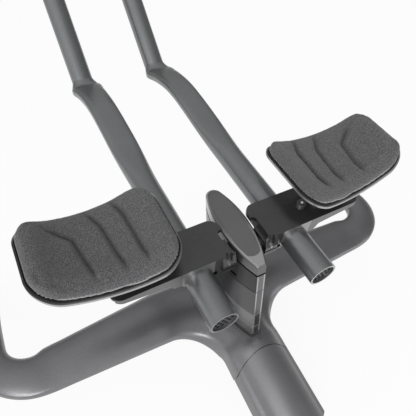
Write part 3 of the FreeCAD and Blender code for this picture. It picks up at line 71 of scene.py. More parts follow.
MM = 0.001
BODY = "root"
CREASE = "crease"
WHITE = (1.0, 1.0, 1.0, 1.0)
BLACK = (0.0, 0.0, 0.0, 1.0)
Colour = tuple[float, float, float]
Triple = tuple[float, float, float]
Pair = tuple[float, float]
Quad = tuple[int, int, int, int]
Line = list[Vector]


class Side(Enum):
    """Which half of the handlebar a piece belongs to."""

    LEFT = -1
    RIGHT = 1

    @property
    def word(self) -> str:
        """The side's name at the front of a node name."""
        return self.name.lower()


class Facing(Enum):
    """Directions on the handlebar that a finish can single out for painted highlights and shade."""

    UP = (0.0, -0.18, 0.98)
    REARWARD = (0.0, -0.98, -0.18)
    FORWARD = (0.0, 0.98, 0.18)


@dataclass(frozen=True)
class TiltFrame:
    """The tilted frame that the tubes, wings and pads are laid out in."""

    origin: Triple = (0.0, 28 * MM, 108 * MM)
    tilt: float = math.radians(10.5)

    @property
    def matrix(self) -> Matrix:
        """Takes a point of the tilted frame to the handlebar's own."""
        return Matrix.Translation(self.origin) @ Matrix.Rotation(self.tilt, 4, "X")

    @property
    def up(self) -> Vector:
        """The tilted frame's upward direction."""
        return self.matrix.to_3x3() @ Vector((0, 0, 1))


TILT = TiltFrame()


class Graph:
    """Short forms for building node trees."""

    def __init__(self, tree: NodeTree) -> None:
        """Args: tree: the tree that nodes are added to."""
        self.tree = tree

    def add(self, kind: str, takes: dict[str | int, object] | None = None, **settings: object) -> Node:
        """Adds one node.

        Args:
            kind: the node's type name.
            takes: sockets or plain values for the node's inputs.
            settings: properties set on the node.
        Returns:
            The new node.
        """
        node = self.tree.nodes.new(kind)
        for name, value in settings.items():
            setattr(node, name, value)
        for key, value in (takes or {}).items():
            self.feed(node, key, value)
        return node

    def feed(self, node: Node, key: str | int, value: object) -> None:
        """Sets an input, from a socket or from a plain value."""
        if isinstance(value, NodeSocket):
            self.tree.links.new(value, node.inputs[key])
        else:
            node.inputs[key].default_value = value

    def place(self, kind: str) -> NodeSocket:
        """One of the shader's coordinates, such as Object or Normal."""
        return self.add("ShaderNodeTexCoord").outputs[kind]

    def math(self, operation: str, first: object, second: object = 0.0) -> NodeSocket:
        """The result of one arithmetic step on two values."""
        return self.add("ShaderNodeMath", {0: first, 1: second}, operation=operation).outputs[0]

    def dot(self, first: object, second: object) -> NodeSocket:
        """The dot product of two vectors."""
        return self.add("ShaderNodeVectorMath", {0: first, 1: second}, operation="DOT_PRODUCT").outputs["Value"]

    def blend(self, share: object, first: object, second: object) -> NodeSocket:
        """Two colours mixed by a share of the second."""
        return self.add("ShaderNodeMix", {0: share, 6: first, 7: second}, data_type="RGBA").outputs[2]

    def noise(self, place: object, scale: object, detail: float = 2.0) -> NodeSocket:
        """A noise value at a place."""
        return self.add("ShaderNodeTexNoise", {"Vector": place, "Scale": scale, "Detail": detail}).outputs[0]

    def spread(self, value: object, low: object, high: object, to: Pair = (0.0, 1.0)) -> NodeSocket:
        """A range of values mapped softly onto another and held at its ends.

        Args:
            value: the value to map.
            low: where the range starts.
            high: where it ends.
            to: the range that it is mapped onto.
        Returns:
            The mapped value's socket.
        """
        takes = dict(enumerate((value, low, high, *to)))
        return self.add("ShaderNodeMapRange", takes, interpolation_type="SMOOTHSTEP").outputs[0]


def open_group(name: str, kind: str, takes: dict[str, object], gives: dict[str, str]) -> \
        tuple[Graph, NodeOutputs, Node]:
    """Starts a node group.

    Args:
        name: the group's name.
        kind: Shader or Geometry.
        takes: input names with their defaults; a word in place of a default is the socket's type.
        gives: output names with their sockets' types.
    Returns:
        The graph, its inputs by name, and its output node.
    """
    tree = bpy.data.node_groups.new(name, kind + "NodeTree")
    types = {float: "Float", int: "Int"}
    for label, value in takes.items():
        if isinstance(value, str):
            word = value
        elif isinstance(value, tuple):
            word = "Color" if len(value) == 4 else "Vector"
        else:
            word = types[type(value)]
        socket = tree.interface.new_socket(label, in_out="INPUT", socket_type="NodeSocket" + word)
        if not isinstance(value, str):
            socket.default_value = value
    for label, word in gives.items():
        tree.interface.new_socket(label, in_out="OUTPUT", socket_type="NodeSocket" + word)
    graph = Graph(tree)
    return graph, graph.add("NodeGroupInput").outputs, graph.add("NodeGroupOutput")


def rgba(colour: Colour) -> tuple[float, float, float, float]:
    """A colour with full alpha."""
    return (*colour, 1.0)


class EffectGroups:
    """Node groups shared by the finishes."""

    CLOUD_SHARE = 0.3
    GRAIN_SHARE = 0.7
    PATCH_SCALE = 22.0
    FIBRE_STRETCH = (1.0, 0.45, 1.0)
    FIBRE_RANGE = (0.38, 0.66)
    FUZZ = 0.6
    STREAK_STRETCH = (0.15, 1.0, 1.0)
    STREAK_TONES = (0.75, 1.2)
    STREAK_SWING = 0.25
    MIDDLE_RANGE = (0.3, 0.7)

    def __init__(self) -> None:
        self.mottle = self._mottle()
        self.facing = self._facing()
        self.knit = self._knit()
        self.spun = self._spun()

    @staticmethod
    def _swing(graph: Graph, base: object, noise: object, amount: object) -> NodeSocket:
        """A value that a noise swings about its base."""
        return graph.math("ADD", base, graph.math("MULTIPLY", graph.math("SUBTRACT", noise, 0.5), amount))

    def _mottle(self) -> NodeTree:
        """Moulded or blasted skin: cloudy tone, fine grain and handled patches."""
        graph, given, out = open_group(
            "moulded_mottle", "Shader",
            {"Dark": BLACK, "Light": WHITE, "Cloud Scale": 40.0, "Grain Scale": 1800.0, "Roughness": 0.4,
             "Patchiness": 0.1},
            {"Color": "Color", "Roughness": "Float", "Height": "Float"})
        place = graph.place("Object")
        cloud = graph.noise(place, given["Cloud Scale"], 4.0)
        grain = graph.noise(place, given["Grain Scale"])
        patch = graph.noise(place, self.PATCH_SCALE, 3.0)
        tone = graph.math("ADD", graph.math("MULTIPLY", cloud, self.CLOUD_SHARE),
                          graph.math("MULTIPLY", grain, self.GRAIN_SHARE))
        graph.feed(out, "Color", graph.blend(graph.spread(tone, *self.MIDDLE_RANGE), given["Dark"], given["Light"]))
        graph.feed(out, "Roughness", self._swing(graph, given["Roughness"], patch, given["Patchiness"]))
        graph.feed(out, "Height", grain)
        return graph.tree

    @staticmethod
    def _facing() -> NodeTree:
        """A mask of the faces that look one way."""
        graph, given, out = open_group("facing_mask", "Shader",
                                       {"Direction": (0.0, 0.0, 1.0), "From": 0.5, "To": 0.9}, {"Mask": "Float"})
        agrees = graph.dot(graph.place("Normal"), given["Direction"])
        graph.feed(out, "Mask", graph.spread(agrees, given["From"], given["To"]))
        return graph.tree

    def _knit(self) -> NodeTree:
        """Heathered knit: two yarn tones mixed by fibre, with fine rows and wales."""
        graph, given, out = open_group(
            "heathered_knit", "Shader",
            {"Dark Yarn": BLACK, "Light Yarn": WHITE, "Fibre Scale": 2000.0, "Row Scale": 620.0},
            {"Color": "Color", "Height": "Float"})
        turned = graph.add("ShaderNodeMapping", {"Vector": graph.place("Object"),
                                                 "Rotation": (-TILT.tilt, 0.0, 0.0)}).outputs[0]
        rows = [graph.add("ShaderNodeTexWave", {"Vector": turned, "Scale": given["Row Scale"], "Distortion": 1.5,
                                                "Detail Scale": 2.0}, bands_direction=direction).outputs["Fac"]
                for direction in "XY"]
        drawn = graph.add("ShaderNodeMapping", {"Vector": turned, "Scale": self.FIBRE_STRETCH}).outputs[0]
        fibre = graph.noise(drawn, given["Fibre Scale"], 3.0)
        share = graph.spread(fibre, *self.FIBRE_RANGE)
        graph.feed(out, "Color", graph.blend(share, given["Dark Yarn"], given["Light Yarn"]))
        fuzz = graph.math("MULTIPLY", fibre, self.FUZZ)
        graph.feed(out, "Height", graph.math("ADD", graph.math("MULTIPLY", *rows), fuzz))
        return graph.tree

    def _spun(self) -> NodeTree:
        """Turned metal: fine streaks that wander round the piece."""
        graph, given, out = open_group("turned_streaks", "Shader",
                                       {"Tone": (0.5, 0.5, 0.5, 1.0), "Scale": 900.0, "Roughness": 0.3},
                                       {"Color": "Color", "Roughness": "Float"})
        drawn = graph.add("ShaderNodeMapping", {"Vector": graph.place("Object"),
                                                "Scale": self.STREAK_STRETCH}).outputs[0]
        streak = graph.noise(drawn, given["Scale"])
        lift = graph.spread(streak, *self.MIDDLE_RANGE, self.STREAK_TONES)
        tone = graph.add("ShaderNodeVectorMath", {0: given["Tone"]}, operation="SCALE")
        graph.feed(tone, "Scale", lift)
        graph.feed(out, "Color", tone.outputs[0])
        graph.feed(out, "Roughness", self._swing(graph, given["Roughness"], streak, self.STREAK_SWING))
        return graph.tree


@dataclass(frozen=True)
class Finish:
    """A surface finish that can be made into a material."""

    name: str

    def material(self, effects: EffectGroups) -> Material:
        """Builds the material.

        Args:
            effects: the shared node groups.
        Returns:
            The new material.
        """
        material = bpy.data.materials.new(self.name)
        material.use_nodes = True
        self.dress(Graph(material.node_tree), material.node_tree.nodes["Principled BSDF"], effects)
        return material

    def dress(self, graph: Graph, shader: Node, effects: EffectGroups) -> None:
        """Connects the finish's own nodes to the shader."""
        raise NotImplementedError

    @staticmethod
    def use(graph: Graph, tree: NodeTree, **values: object) -> Node:
        """Places a shared group and sets its inputs; underscores in names stand for spaces.

        Returns:
            The group node.
        """
        takes = {name.replace("_", " "): value for name, value in values.items()}
        return graph.add("ShaderNodeGroup", takes, node_tree=tree)

    @staticmethod
    def bump(graph: Graph, shader: Node, height: NodeSocket, strength: float, depth: float) -> None:
        """Raises a surface by a height value, in metres of depth."""
        node = graph.add("ShaderNodeBump", {"Strength": strength, "Distance": depth, "Height": height})
        graph.feed(shader, "Normal", node.outputs[0])


@dataclass(frozen=True)
class Pick:
    """Faces that a finish paints in another tone by where they look and where they lie: painted highlights and shade.

    The colour sets in at start and is full at full, by how squarely a face looks that way. Inner and outer
    bound its distance from the middle plane, and fade is where it ends in the forward direction.
    """

    facing: Facing
    colour: Colour
    start: float = 0.6
    full: float = 0.9
    inner: float = -1.0
    outer: float = 1.0
    fade: Pair = (1.0, 2.0)
    soft: float = 0.3 * MM

    def mask(self, graph: Graph, effects: EffectGroups) -> NodeSocket:
        """How much each point of the surface takes the singled-out colour.

        Args:
            graph: the material's graph.
            effects: the shared node groups.
        Returns:
            The mask's socket.
        """
        looks = Finish.use(graph, effects.facing, Direction=self.facing.value, From=self.start, To=self.full)
        split = graph.add("ShaderNodeSeparateXYZ", {0: graph.place("Object")})
        across = graph.math("ABSOLUTE", split.outputs[0])
        past_inner = graph.spread(across, self.inner - self.soft, self.inner + self.soft)
        before_outer = graph.spread(across, self.outer - self.soft, self.outer + self.soft, (1.0, 0.0))
        band = graph.math("MULTIPLY", past_inner, before_outer)
        behind = graph.spread(split.outputs[1], *self.fade, (1.0, 0.0))
        return graph.math("MULTIPLY", looks.outputs[0], graph.math("MULTIPLY", band, behind))


@dataclass(frozen=True)
class MouldedFinish(Finish):
    """Painted or bare moulding with a satin skin."""

    dark: Colour = (0.17, 0.168, 0.174)
    light: Colour = (0.21, 0.207, 0.215)
    roughness: float = 0.38
    patchiness: float = 0.12
    cloud_scale: float = 45.0
    grain_scale: float = 1500.0
    metallic: float = 0.8
    relief: float = 0.008 * MM
    relief_strength: float = 0.5
    picks: tuple[Pick, ...] = ()

    def dress(self, graph: Graph, shader: Node, effects: EffectGroups) -> None:
        """Mottled colour and roughness, with painted highlights and shade on the faces that its picks single out."""
        mottle = self.use(graph, effects.mottle, Dark=rgba(self.dark), Light=rgba(self.light),
                          Cloud_Scale=self.cloud_scale, Grain_Scale=self.grain_scale,
                          Roughness=self.roughness, Patchiness=self.patchiness)
        colour = mottle.outputs["Color"]
        for pick in self.picks:
            colour = graph.blend(pick.mask(graph, effects), colour, rgba(pick.colour))
        graph.feed(shader, "Base Color", colour)
        graph.feed(shader, "Roughness", mottle.outputs["Roughness"])
        graph.feed(shader, "Metallic", self.metallic)
        self.bump(graph, shader, mottle.outputs["Height"], self.relief_strength, self.relief)


@dataclass(frozen=True)
class MetalFinish(Finish):
    """Turned or drawn metal."""

    tone: Colour = (0.5, 0.5, 0.5)
    roughness: float = 0.32
    streak_scale: float = 900.0

    def dress(self, graph: Graph, shader: Node, effects: EffectGroups) -> None:
        """Streaked metal."""
        spun = self.use(graph, effects.spun, Tone=rgba(self.tone), Scale=self.streak_scale,
                        Roughness=self.roughness)
        graph.feed(shader, "Base Color", spun.outputs["Color"])
        graph.feed(shader, "Roughness", spun.outputs["Roughness"])
        graph.feed(shader, "Metallic", 1.0)


@dataclass(frozen=True)
class KnitFinish(Finish):
    """Heathered knit cover, with painted shade down in its creases."""

    dark: Colour = (0.05, 0.05, 0.052)
    light: Colour = (0.135, 0.133, 0.138)
    crease_shade_colour: Colour = (0.03, 0.03, 0.031)
    crease_shade_share: float = 0.85
    roughness: float = 0.92
    sheen: float = 0.25
    sheen_roughness: float = 0.5
    relief: float = 0.18 * MM
    relief_strength: float = 0.6

    def dress(self, graph: Graph, shader: Node, effects: EffectGroups) -> None:
        """Yarn colour with painted shade from the pad's own crease values."""
        knit = self.use(graph, effects.knit, Dark_Yarn=rgba(self.dark), Light_Yarn=rgba(self.light))
        # Painted shade: the knit is darkened toward the crease colour by crease depth.
        crease = graph.add("ShaderNodeAttribute", attribute_name=CREASE)
        share = graph.math("MULTIPLY", crease.outputs["Fac"], self.crease_shade_share)
        graph.feed(shader, "Base Color", graph.blend(share, knit.outputs["Color"], rgba(self.crease_shade_colour)))
        graph.feed(shader, "Roughness", self.roughness)
        graph.feed(shader, "Sheen Weight", self.sheen)
        graph.feed(shader, "Sheen Roughness", self.sheen_roughness)
        self.bump(graph, shader, knit.outputs["Height"], self.relief_strength, self.relief)


@dataclass(frozen=True)
class YarnFinish(Finish):
    """Sewing thread or edge cord, twisted finely along its length."""

    dark: Colour = (0.16, 0.16, 0.165)
    light: Colour = (0.34, 0.34, 0.35)
    fibre_scale: float = 2200.0
    row_scale: float = 1500.0
    roughness: float = 0.8
    relief: float = 0.08 * MM
    relief_strength: float = 0.4

    def dress(self, graph: Graph, shader: Node, effects: EffectGroups) -> None:
        """Two tones of fibre."""
        knit = self.use(graph, effects.knit, Dark_Yarn=rgba(self.dark), Light_Yarn=rgba(self.light),
                        Fibre_Scale=self.fibre_scale, Row_Scale=self.row_scale)
        graph.feed(shader, "Base Color", knit.outputs["Color"])
        graph.feed(shader, "Roughness", self.roughness)
        self.bump(graph, shader, knit.outputs["Height"], self.relief_strength, self.relief)


class Palette:
    """All finishes of the handlebar, made once."""

    CARBON = MouldedFinish("moulded_carbon", roughness=0.35)
    COVER = MouldedFinish("cover_skin", dark=(0.18, 0.178, 0.184), light=(0.215, 0.212, 0.22), roughness=0.42)
    # Painted highlight: the tubes' rear-facing faces are lightened.
    TUBE = MouldedFinish("tube_skin", dark=(0.183, 0.187, 0.19), light=(0.218, 0.222, 0.226), roughness=0.3,
                         picks=(Pick(Facing.REARWARD, (0.42, 0.42, 0.422), 0.85, 0.97),))
    # Painted highlight: all rear-facing faces of the post's blocks are lightened.
    REAR_HIGHLIGHT = Pick(Facing.REARWARD, (0.42, 0.42, 0.425))
    # Half width of the middle of the post's rear face. Each block paints that middle in its own tone of painted light
    # and shade, darker than the painted highlight on the face's edges.
    REAR_FACE = 2.4 * MM
    BLOCK_CLOUD = 30.0
    POST = MouldedFinish("post_satin", dark=(0.16, 0.16, 0.164), light=(0.195, 0.195, 0.2), roughness=0.24,
                         cloud_scale=BLOCK_CLOUD,
                         picks=(REAR_HIGHLIGHT, Pick(Facing.REARWARD, (0.065, 0.065, 0.067), outer=REAR_FACE)))
    # The blocks under the wings take darker copies of the post's satin: painted shade, deepest on the head.
    POST_HALF_SHADE = MouldedFinish("upper_satin", dark=(0.075, 0.075, 0.077), light=(0.095, 0.095, 0.097), roughness=0.24,
                          cloud_scale=BLOCK_CLOUD,
                          picks=(REAR_HIGHLIGHT, Pick(Facing.REARWARD, (0.12, 0.12, 0.122), outer=REAR_FACE)))
    POST_DEEP_SHADE = MouldedFinish("head_satin", dark=(0.035, 0.035, 0.036), light=(0.05, 0.05, 0.052), roughness=0.26,
                         cloud_scale=BLOCK_CLOUD,
                         picks=(REAR_HIGHLIGHT, Pick(Facing.REARWARD, (0.15, 0.15, 0.152), outer=REAR_FACE)))
    SEAL = MouldedFinish("dark_seal", dark=(0.02, 0.02, 0.021), light=(0.035, 0.035, 0.037), roughness=0.6,
                         metallic=0.2)
    # Painted highlights: the cap's upward faces are lightened toward the rear, fading out forward, and its forward
    # faces too.
    CAP = MouldedFinish("cap_satin", dark=(0.13, 0.13, 0.132), light=(0.16, 0.16, 0.162), roughness=0.33,
                        picks=(Pick(Facing.UP, (0.4, 0.4, 0.403), 0.8, 0.97, fade=(56 * MM, 92 * MM)),
                               Pick(Facing.FORWARD, (0.55, 0.55, 0.54), 0.05, 0.3)))
    INLAY = MouldedFinish("inlay_matt", dark=(0.12, 0.12, 0.122), light=(0.15, 0.15, 0.152), roughness=0.55,
                          grain_scale=2600.0, metallic=0.5)
    # Painted highlight on the rear-facing faces of wing and strap, brightest over the tube, 30 to 56 mm out.
    WING = MouldedFinish("wing_black", dark=(0.07, 0.07, 0.071), light=(0.09, 0.09, 0.092), roughness=0.28,
                         picks=(Pick(Facing.REARWARD, (0.28, 0.28, 0.282), 0.45, 0.85, inner=30 * MM, outer=56 * MM),
                                Pick(Facing.REARWARD, (0.14, 0.14, 0.142), 0.45, 0.85, inner=56 * MM)))
    # Painted shade: the plug is near black all over, for its holes, and only its rear-facing face has the plug's own
    # tone.
    PLUG = MouldedFinish("plug_moulding", dark=(0.008, 0.008, 0.008), light=(0.014, 0.014, 0.014), roughness=0.4,
                         metallic=0.5, picks=(Pick(Facing.REARWARD, (0.085, 0.083, 0.088)),))
    # Light grey all over: a painted highlight for the cup's lit rim.
    CUP = MouldedFinish("cup_shell", dark=(0.38, 0.38, 0.384), light=(0.45, 0.45, 0.454), roughness=0.34)
    HOOK = MouldedFinish("hook_layer", dark=(0.006, 0.006, 0.006), light=(0.014, 0.014, 0.014), roughness=0.95,
                         relief=0.15 * MM, grain_scale=1400.0, metallic=0.0)
    STEEL = MetalFinish("bolt_steel", tone=(0.56, 0.56, 0.57))
    ALLOY = MetalFinish("shaft_alloy", tone=(0.2, 0.2, 0.205), roughness=0.36)
    BRASS = MetalFinish("insert_brass", tone=(0.6, 0.44, 0.2), roughness=0.3)
    KNIT = KnitFinish("pad_knit")
    THREAD = YarnFinish("pad_thread")
    # Light grey cord: a painted highlight for the pad's lit lower edge.
    CORD = YarnFinish("pad_cord", dark=(0.26, 0.26, 0.265), light=(0.4, 0.4, 0.41))

    def __init__(self) -> None:
        self.effects = EffectGroups()
        self.made: dict[str, Material] = {}

    def get(self, finish: Finish) -> Material:
        """The material of a finish, made the first time it is asked for."""
        if finish.name not in self.made:
            self.made[finish.name] = finish.material(self.effects)
        return self.made[finish.name]

    def dress(self, finish: Finish, *nodes: str) -> None:
        """Gives CAD nodes a finish in all their slots."""
        for name in nodes:
            slots = bpy.data.objects[name].data.materials
            if not slots:
                slots.append(None)
            for index in range(len(slots)):
                slots[index] = self.get(finish)


@dataclass
class SubAssembly:
    """A group of pieces that is built and dressed together."""

    palette: Palette

    def build(self) -> None:
        """Makes the pieces that this group adds."""

    def dress(self) -> None:
        """Gives the group's CAD nodes their finishes."""
        raise NotImplementedError


@dataclass
class BaseBar(SubAssembly):
    """The base bar with its clamp cover."""

    def dress(self) -> None:
        """Moulded skin on bar and cover, steel on the clamp bolts."""
        self.palette.dress(Palette.CARBON, "base_bar")
        self.palette.dress(Palette.COVER, "stem_cover")
        self.palette.dress(Palette.STEEL, "steerer_clamp_bolts")


@dataclass
class RiserPost(SubAssembly):
    """The stacked post with its cap, inlay and cross shaft."""

    def dress(self) -> None:
        """Satin blocks over a dark seal; the upper blocks take darker copies as painted shade under the wings."""
        self.palette.dress(Palette.SEAL, "post_foot")
        self.palette.dress(Palette.POST, "spacer_low", "spacer_mid")
        self.palette.dress(Palette.POST_HALF_SHADE, "spacer_high")
        self.palette.dress(Palette.POST_DEEP_SHADE, "post_head")
        self.palette.dress(Palette.CAP, "head_cap")
        self.palette.dress(Palette.INLAY, "cap_inlay")
        self.palette.dress(Palette.STEEL, "post_bolts", "cap_bolts")
        self.palette.dress(Palette.BRASS, "post_inserts")
        self.palette.dress(Palette.ALLOY, "tilt_shaft")


def surface_net(values: numpy.ndarray, low: numpy.ndarray, step: float) -> tuple[numpy.ndarray, list[Quad]]:
    """The skin between the negative and positive points of a grid.

    Args:
        values: the value at each grid point.
        low: the grid's lowest corner.
        step: the grid's pitch.
    Returns:
        The skin's points and its four-sided faces.
    """
    inside = values < 0
    cells = tuple(count - 1 for count in values.shape)
    total = numpy.zeros(cells + (3,))
    hits = numpy.zeros(cells)
    corners = [numpy.array((i, j, k)) for i in (0, 1) for j in (0, 1) for k in (0, 1)]

    def at(grid: numpy.ndarray, corner: numpy.ndarray) -> numpy.ndarray:
        """One corner's value for every cell."""
        return grid[tuple(slice(c, c + n) for c, n in zip(corner, cells))]

    for first in corners:
        for axis in range(3):
            if first[axis]:
                continue
            second = first.copy()
            second[axis] = 1
            start, stop = at(values, first), at(values, second)
            crossed = at(inside, first) != at(inside, second)
            share = numpy.where(crossed, start / numpy.where(crossed, start - stop, 1.0), 0.0)
            spot = first[None, None, None, :] + share[..., None] * (second - first)
            total += spot * crossed[..., None]
            hits += crossed
    used = hits > 0
    number = numpy.full(cells, -1)
    number[used] = numpy.arange(int(used.sum()))
    points = (numpy.argwhere(used) + total[used] / hits[used][:, None]) * step + low
    faces: list[Quad] = []
    for axis in range(3):
        one, two = (axis + 1) % 3, (axis + 2) % 3
        along = [slice(None)] * 3
        along[axis] = slice(0, -1)
        ahead = [slice(None)] * 3
        ahead[axis] = slice(1, None)
        for spot in numpy.argwhere(inside[tuple(along)] != inside[tuple(ahead)]):
            ring = []
            for back_one, back_two in ((1, 1), (0, 1), (0, 0), (1, 0)):
                cell = spot.copy()
                cell[one] -= back_one
                cell[two] -= back_two
                ring.append(int(number[tuple(cell)]))
            faces.append(tuple(ring) if inside[tuple(spot)] else tuple(reversed(ring)))
    return points, faces


@dataclass
class ExtensionSide(SubAssembly):
    """One wing with its strap, extension and end plug, and the fillet at the foot of the grip.

    The fillet is the smooth union of grip and blade, sunk a little under both, so that it shows only where
    it fills the corner between them. Only the ring where they meet is kept, clear of the grip's bore.
    """

    side: Side
    grip_length: float = 122.0 * MM
    grip_radius: float = 11.1 * MM
    fillet: float = 9.0 * MM
    sunk: float = 0.3 * MM
    depth: float = 1.4 * MM
    least: float = 0.03
    pitch: float = 0.8 * MM
    reach: Triple = (17 * MM, 34 * MM, 32 * MM)
    clear: float = 0.05 * MM
    relax_rounds: int = 3

    def build(self) -> None:
        """Adds the fillet at the foot of the grip."""
        neck = self._neck()
        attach(neck, BODY)

    def _neck(self) -> Object:
        """The soft fillet where the round grip rises out of the flat blade.

        Returns:
            The new piece.
        """
        word = self.side.word
        mount = next(item for item in frame["record"]["mounts"] if item["name"] == word + "_extension_bore")
        axis = numpy.array(mount["axis"])
        knee = numpy.array(mount["pos_m"]) - axis * self.grip_length
        low = knee - numpy.array(self.reach)
        counts = [int(2 * half / self.pitch) + 1 for half in self.reach]
        grid = numpy.stack(numpy.meshgrid(*[numpy.arange(n) for n in counts], indexing="ij"), axis=-1)
        spots = grid * self.pitch + low
        from_grip = self._from_grip(spots, knee, axis)
        from_blade = self._from_blade(spots, from_grip, knee, axis)
        near = numpy.maximum(1.0 - numpy.abs(from_grip - from_blade) / self.fillet, 0.0)
        values = numpy.minimum(from_grip, from_blade) - near * near * self.fillet / 4 + self.sunk
        values = numpy.maximum(values, (self.least - near) * self.fillet)
        for end in (0, -1):
            values[end], values[:, end], values[:, :, end] = MM, MM, MM
        points, faces = surface_net(values, low, self.pitch)
        mesh = bpy.data.meshes.new(word + "_grip_fillet")
        mesh.from_pydata([tuple(point) for point in points], [], faces)
        self._relax(mesh)
        mesh.materials.append(self.palette.get(Palette.TUBE))
        return linked(mesh.name, mesh)

    def _from_grip(self, spots: numpy.ndarray, knee: numpy.ndarray, axis: numpy.ndarray) -> numpy.ndarray:
        """How far points are outside the grip, taken as a round-ended bar that starts at its knee."""
        arm = spots - knee
        along = numpy.maximum(arm @ axis, 0.0)
        return numpy.linalg.norm(arm - along[..., None] * axis, axis=-1) - self.grip_radius

    def _from_blade(self, spots: numpy.ndarray, from_grip: numpy.ndarray, knee: numpy.ndarray,
                    axis: numpy.ndarray) -> numpy.ndarray:
        """How far points are outside the blade; points well inside or clear of the grip are skipped.

        Args:
            spots: the grid's points.
            from_grip: how far each is outside the grip.
            knee: where the grip starts.
            axis: the grip's direction.
        Returns:
            The distances, with a large one where skipped.
        """
        mesh = bpy.data.objects[self.side.word + "_extension"].data
        middles = numpy.array([tuple(face.center) for face in mesh.polygons])
        kept = self._from_grip(middles, knee, axis) > self.clear
        tree = BVHTree.FromPolygons([vertex.co.copy() for vertex in mesh.vertices],
                                    [tuple(face.vertices) for face, keep in zip(mesh.polygons, kept) if keep])
        gaps = numpy.full(from_grip.shape, 1.0)
        for index in numpy.argwhere((from_grip > -self.depth) & (from_grip < self.fillet)):
            spot = Vector(spots[tuple(index)])
            hit, normal, _, gap = tree.find_nearest(spot)
            gaps[tuple(index)] = gap if (spot - hit).dot(normal) >= 0 else -gap
        return gaps

    def _relax(self, mesh: Mesh) -> None:
        """Evens out the skin and turns its faces outwards."""
        shape = bmesh.new()
        shape.from_mesh(mesh)
        for _ in range(self.relax_rounds):
            bmesh.ops.smooth_vert(shape, verts=shape.verts, factor=0.5, use_axis_x=True, use_axis_y=True,
                                  use_axis_z=True)
        bmesh.ops.recalc_face_normals(shape, faces=shape.faces)
        shape.to_mesh(mesh)
        shape.free()
        smooth(mesh)

    def dress(self) -> None:
        """Dark wing and strap, moulded extension, black plug; painted rear highlights, and painted shade in the
        plug's holes.
        """
        word = self.side.word
        self.palette.dress(Palette.WING, word + "_wing", word + "_extension_strap")
        self.palette.dress(Palette.TUBE, word + "_extension")
        self.palette.dress(Palette.PLUG, word + "_end_plug")


@dataclass
class Fasteners(SubAssembly):
    """The bolts that both sides share."""

    def dress(self) -> None:
        """Steel on all of them."""
        self.palette.dress(Palette.STEEL, "wing_pinch_bolts", "strap_bolts", "cup_bolts")


@dataclass(frozen=True)
class PadPlan:
    """The pad's plan on the right side, in the tilted frame; creases are given in shares of its size."""

    inner: float = 52.4 * MM
    outer: float = 147.7 * MM
    rear: float = 38.4 * MM
    rear_skew: float = 5.4 * MM
    front: float = 113.5 * MM
    front_skew: float = 11.2 * MM
    corner: float = 17.0 * MM
    creases: tuple[tuple[Pair, ...], ...] = (
        ((0.809, 0.747), (0.665, 0.600), (0.608, 0.141)),
        ((0.510, 0.867), (0.442, 0.679), (0.395, 0.130)),
        ((0.301, 0.907), (0.254, 0.715), (0.231, 0.137)))

    def outline(self, inset: float, side: Side, steps: int = 10) -> Line:
        """The rounded plan, drawn in by an inset.

        Args:
            inset: how far inside the plan the line runs.
            side: which pad it is for.
            steps: points in each corner.
        Returns:
            A closed line of points with z 0.
        """
        corners = [Vector((self.inner, self.rear, 0)), Vector((self.outer, self.rear + self.rear_skew, 0)),
                   Vector((self.outer, self.front - self.front_skew, 0)), Vector((self.inner, self.front, 0))]
        line: Line = []
        for index, spot in enumerate(corners):
            before = (corners[index - 1] - spot).normalized()
            after = (corners[(index + 1) % 4] - spot).normalized()
            half = before.angle(after) / 2
            centre = spot + (before + after).normalized() * self.corner / math.sin(half)
            start = (spot + before * self.corner / math.tan(half)) - centre
            stop = (spot + after * self.corner / math.tan(half)) - centre
            turn = math.atan2(start.cross(stop).z, start.dot(stop))
            for step in range(steps + 1):
                arm = Matrix.Rotation(turn * step / steps, 3, "Z") @ start
                line.append(centre + arm * (1 - inset / self.corner))
        return [Vector((side.value * p.x, p.y, p.z)) for p in line]

    def crease_lines(self, side: Side) -> list[Line]:
        """The three creases as bent lines with z 0."""
        lines = []
        for shares in self.creases:
            lines.append([Vector((side.value * (self.inner + (self.outer - self.inner) * u),
                                  self.rear + (self.front - self.rear) * v, 0)) for u, v in shares])
        return lines


def resample(line: Line, pitch: float) -> Line:
    """A closed line redrawn with points at an even pitch."""
    loop = line + line[:1]
    runs = [(b - a).length for a, b in zip(loop, loop[1:])]
    count = max(8, round(sum(runs) / pitch))
    step = sum(runs) / count
    points: Line = []
    index, passed = 0, 0.0
    for number in range(count):
        target = number * step
        while passed + runs[index] < target:
            passed += runs[index]
            index += 1
        share = (target - passed) / max(runs[index], 1e-9)
        points.append(loop[index].lerp(loop[index + 1], share))
    return points


def distance_to(line: Line, spot: Vector) -> Pair:
    """How far a plan point is from a bent line, and where along the line that is, from 0 to 1."""
    total = sum((b - a).length for a, b in zip(line, line[1:]))
    best, along, passed = 1e9, 0.0, 0.0
    for a, b in zip(line, line[1:]):
        run = b - a
        share = min(1.0, max(0.0, (spot - a).dot(run) / run.length_squared))
        gap = (spot - a - run * share).length
        if gap < best:
            best, along = gap, (passed + share * run.length) / total
        passed += run.length
    return best, along


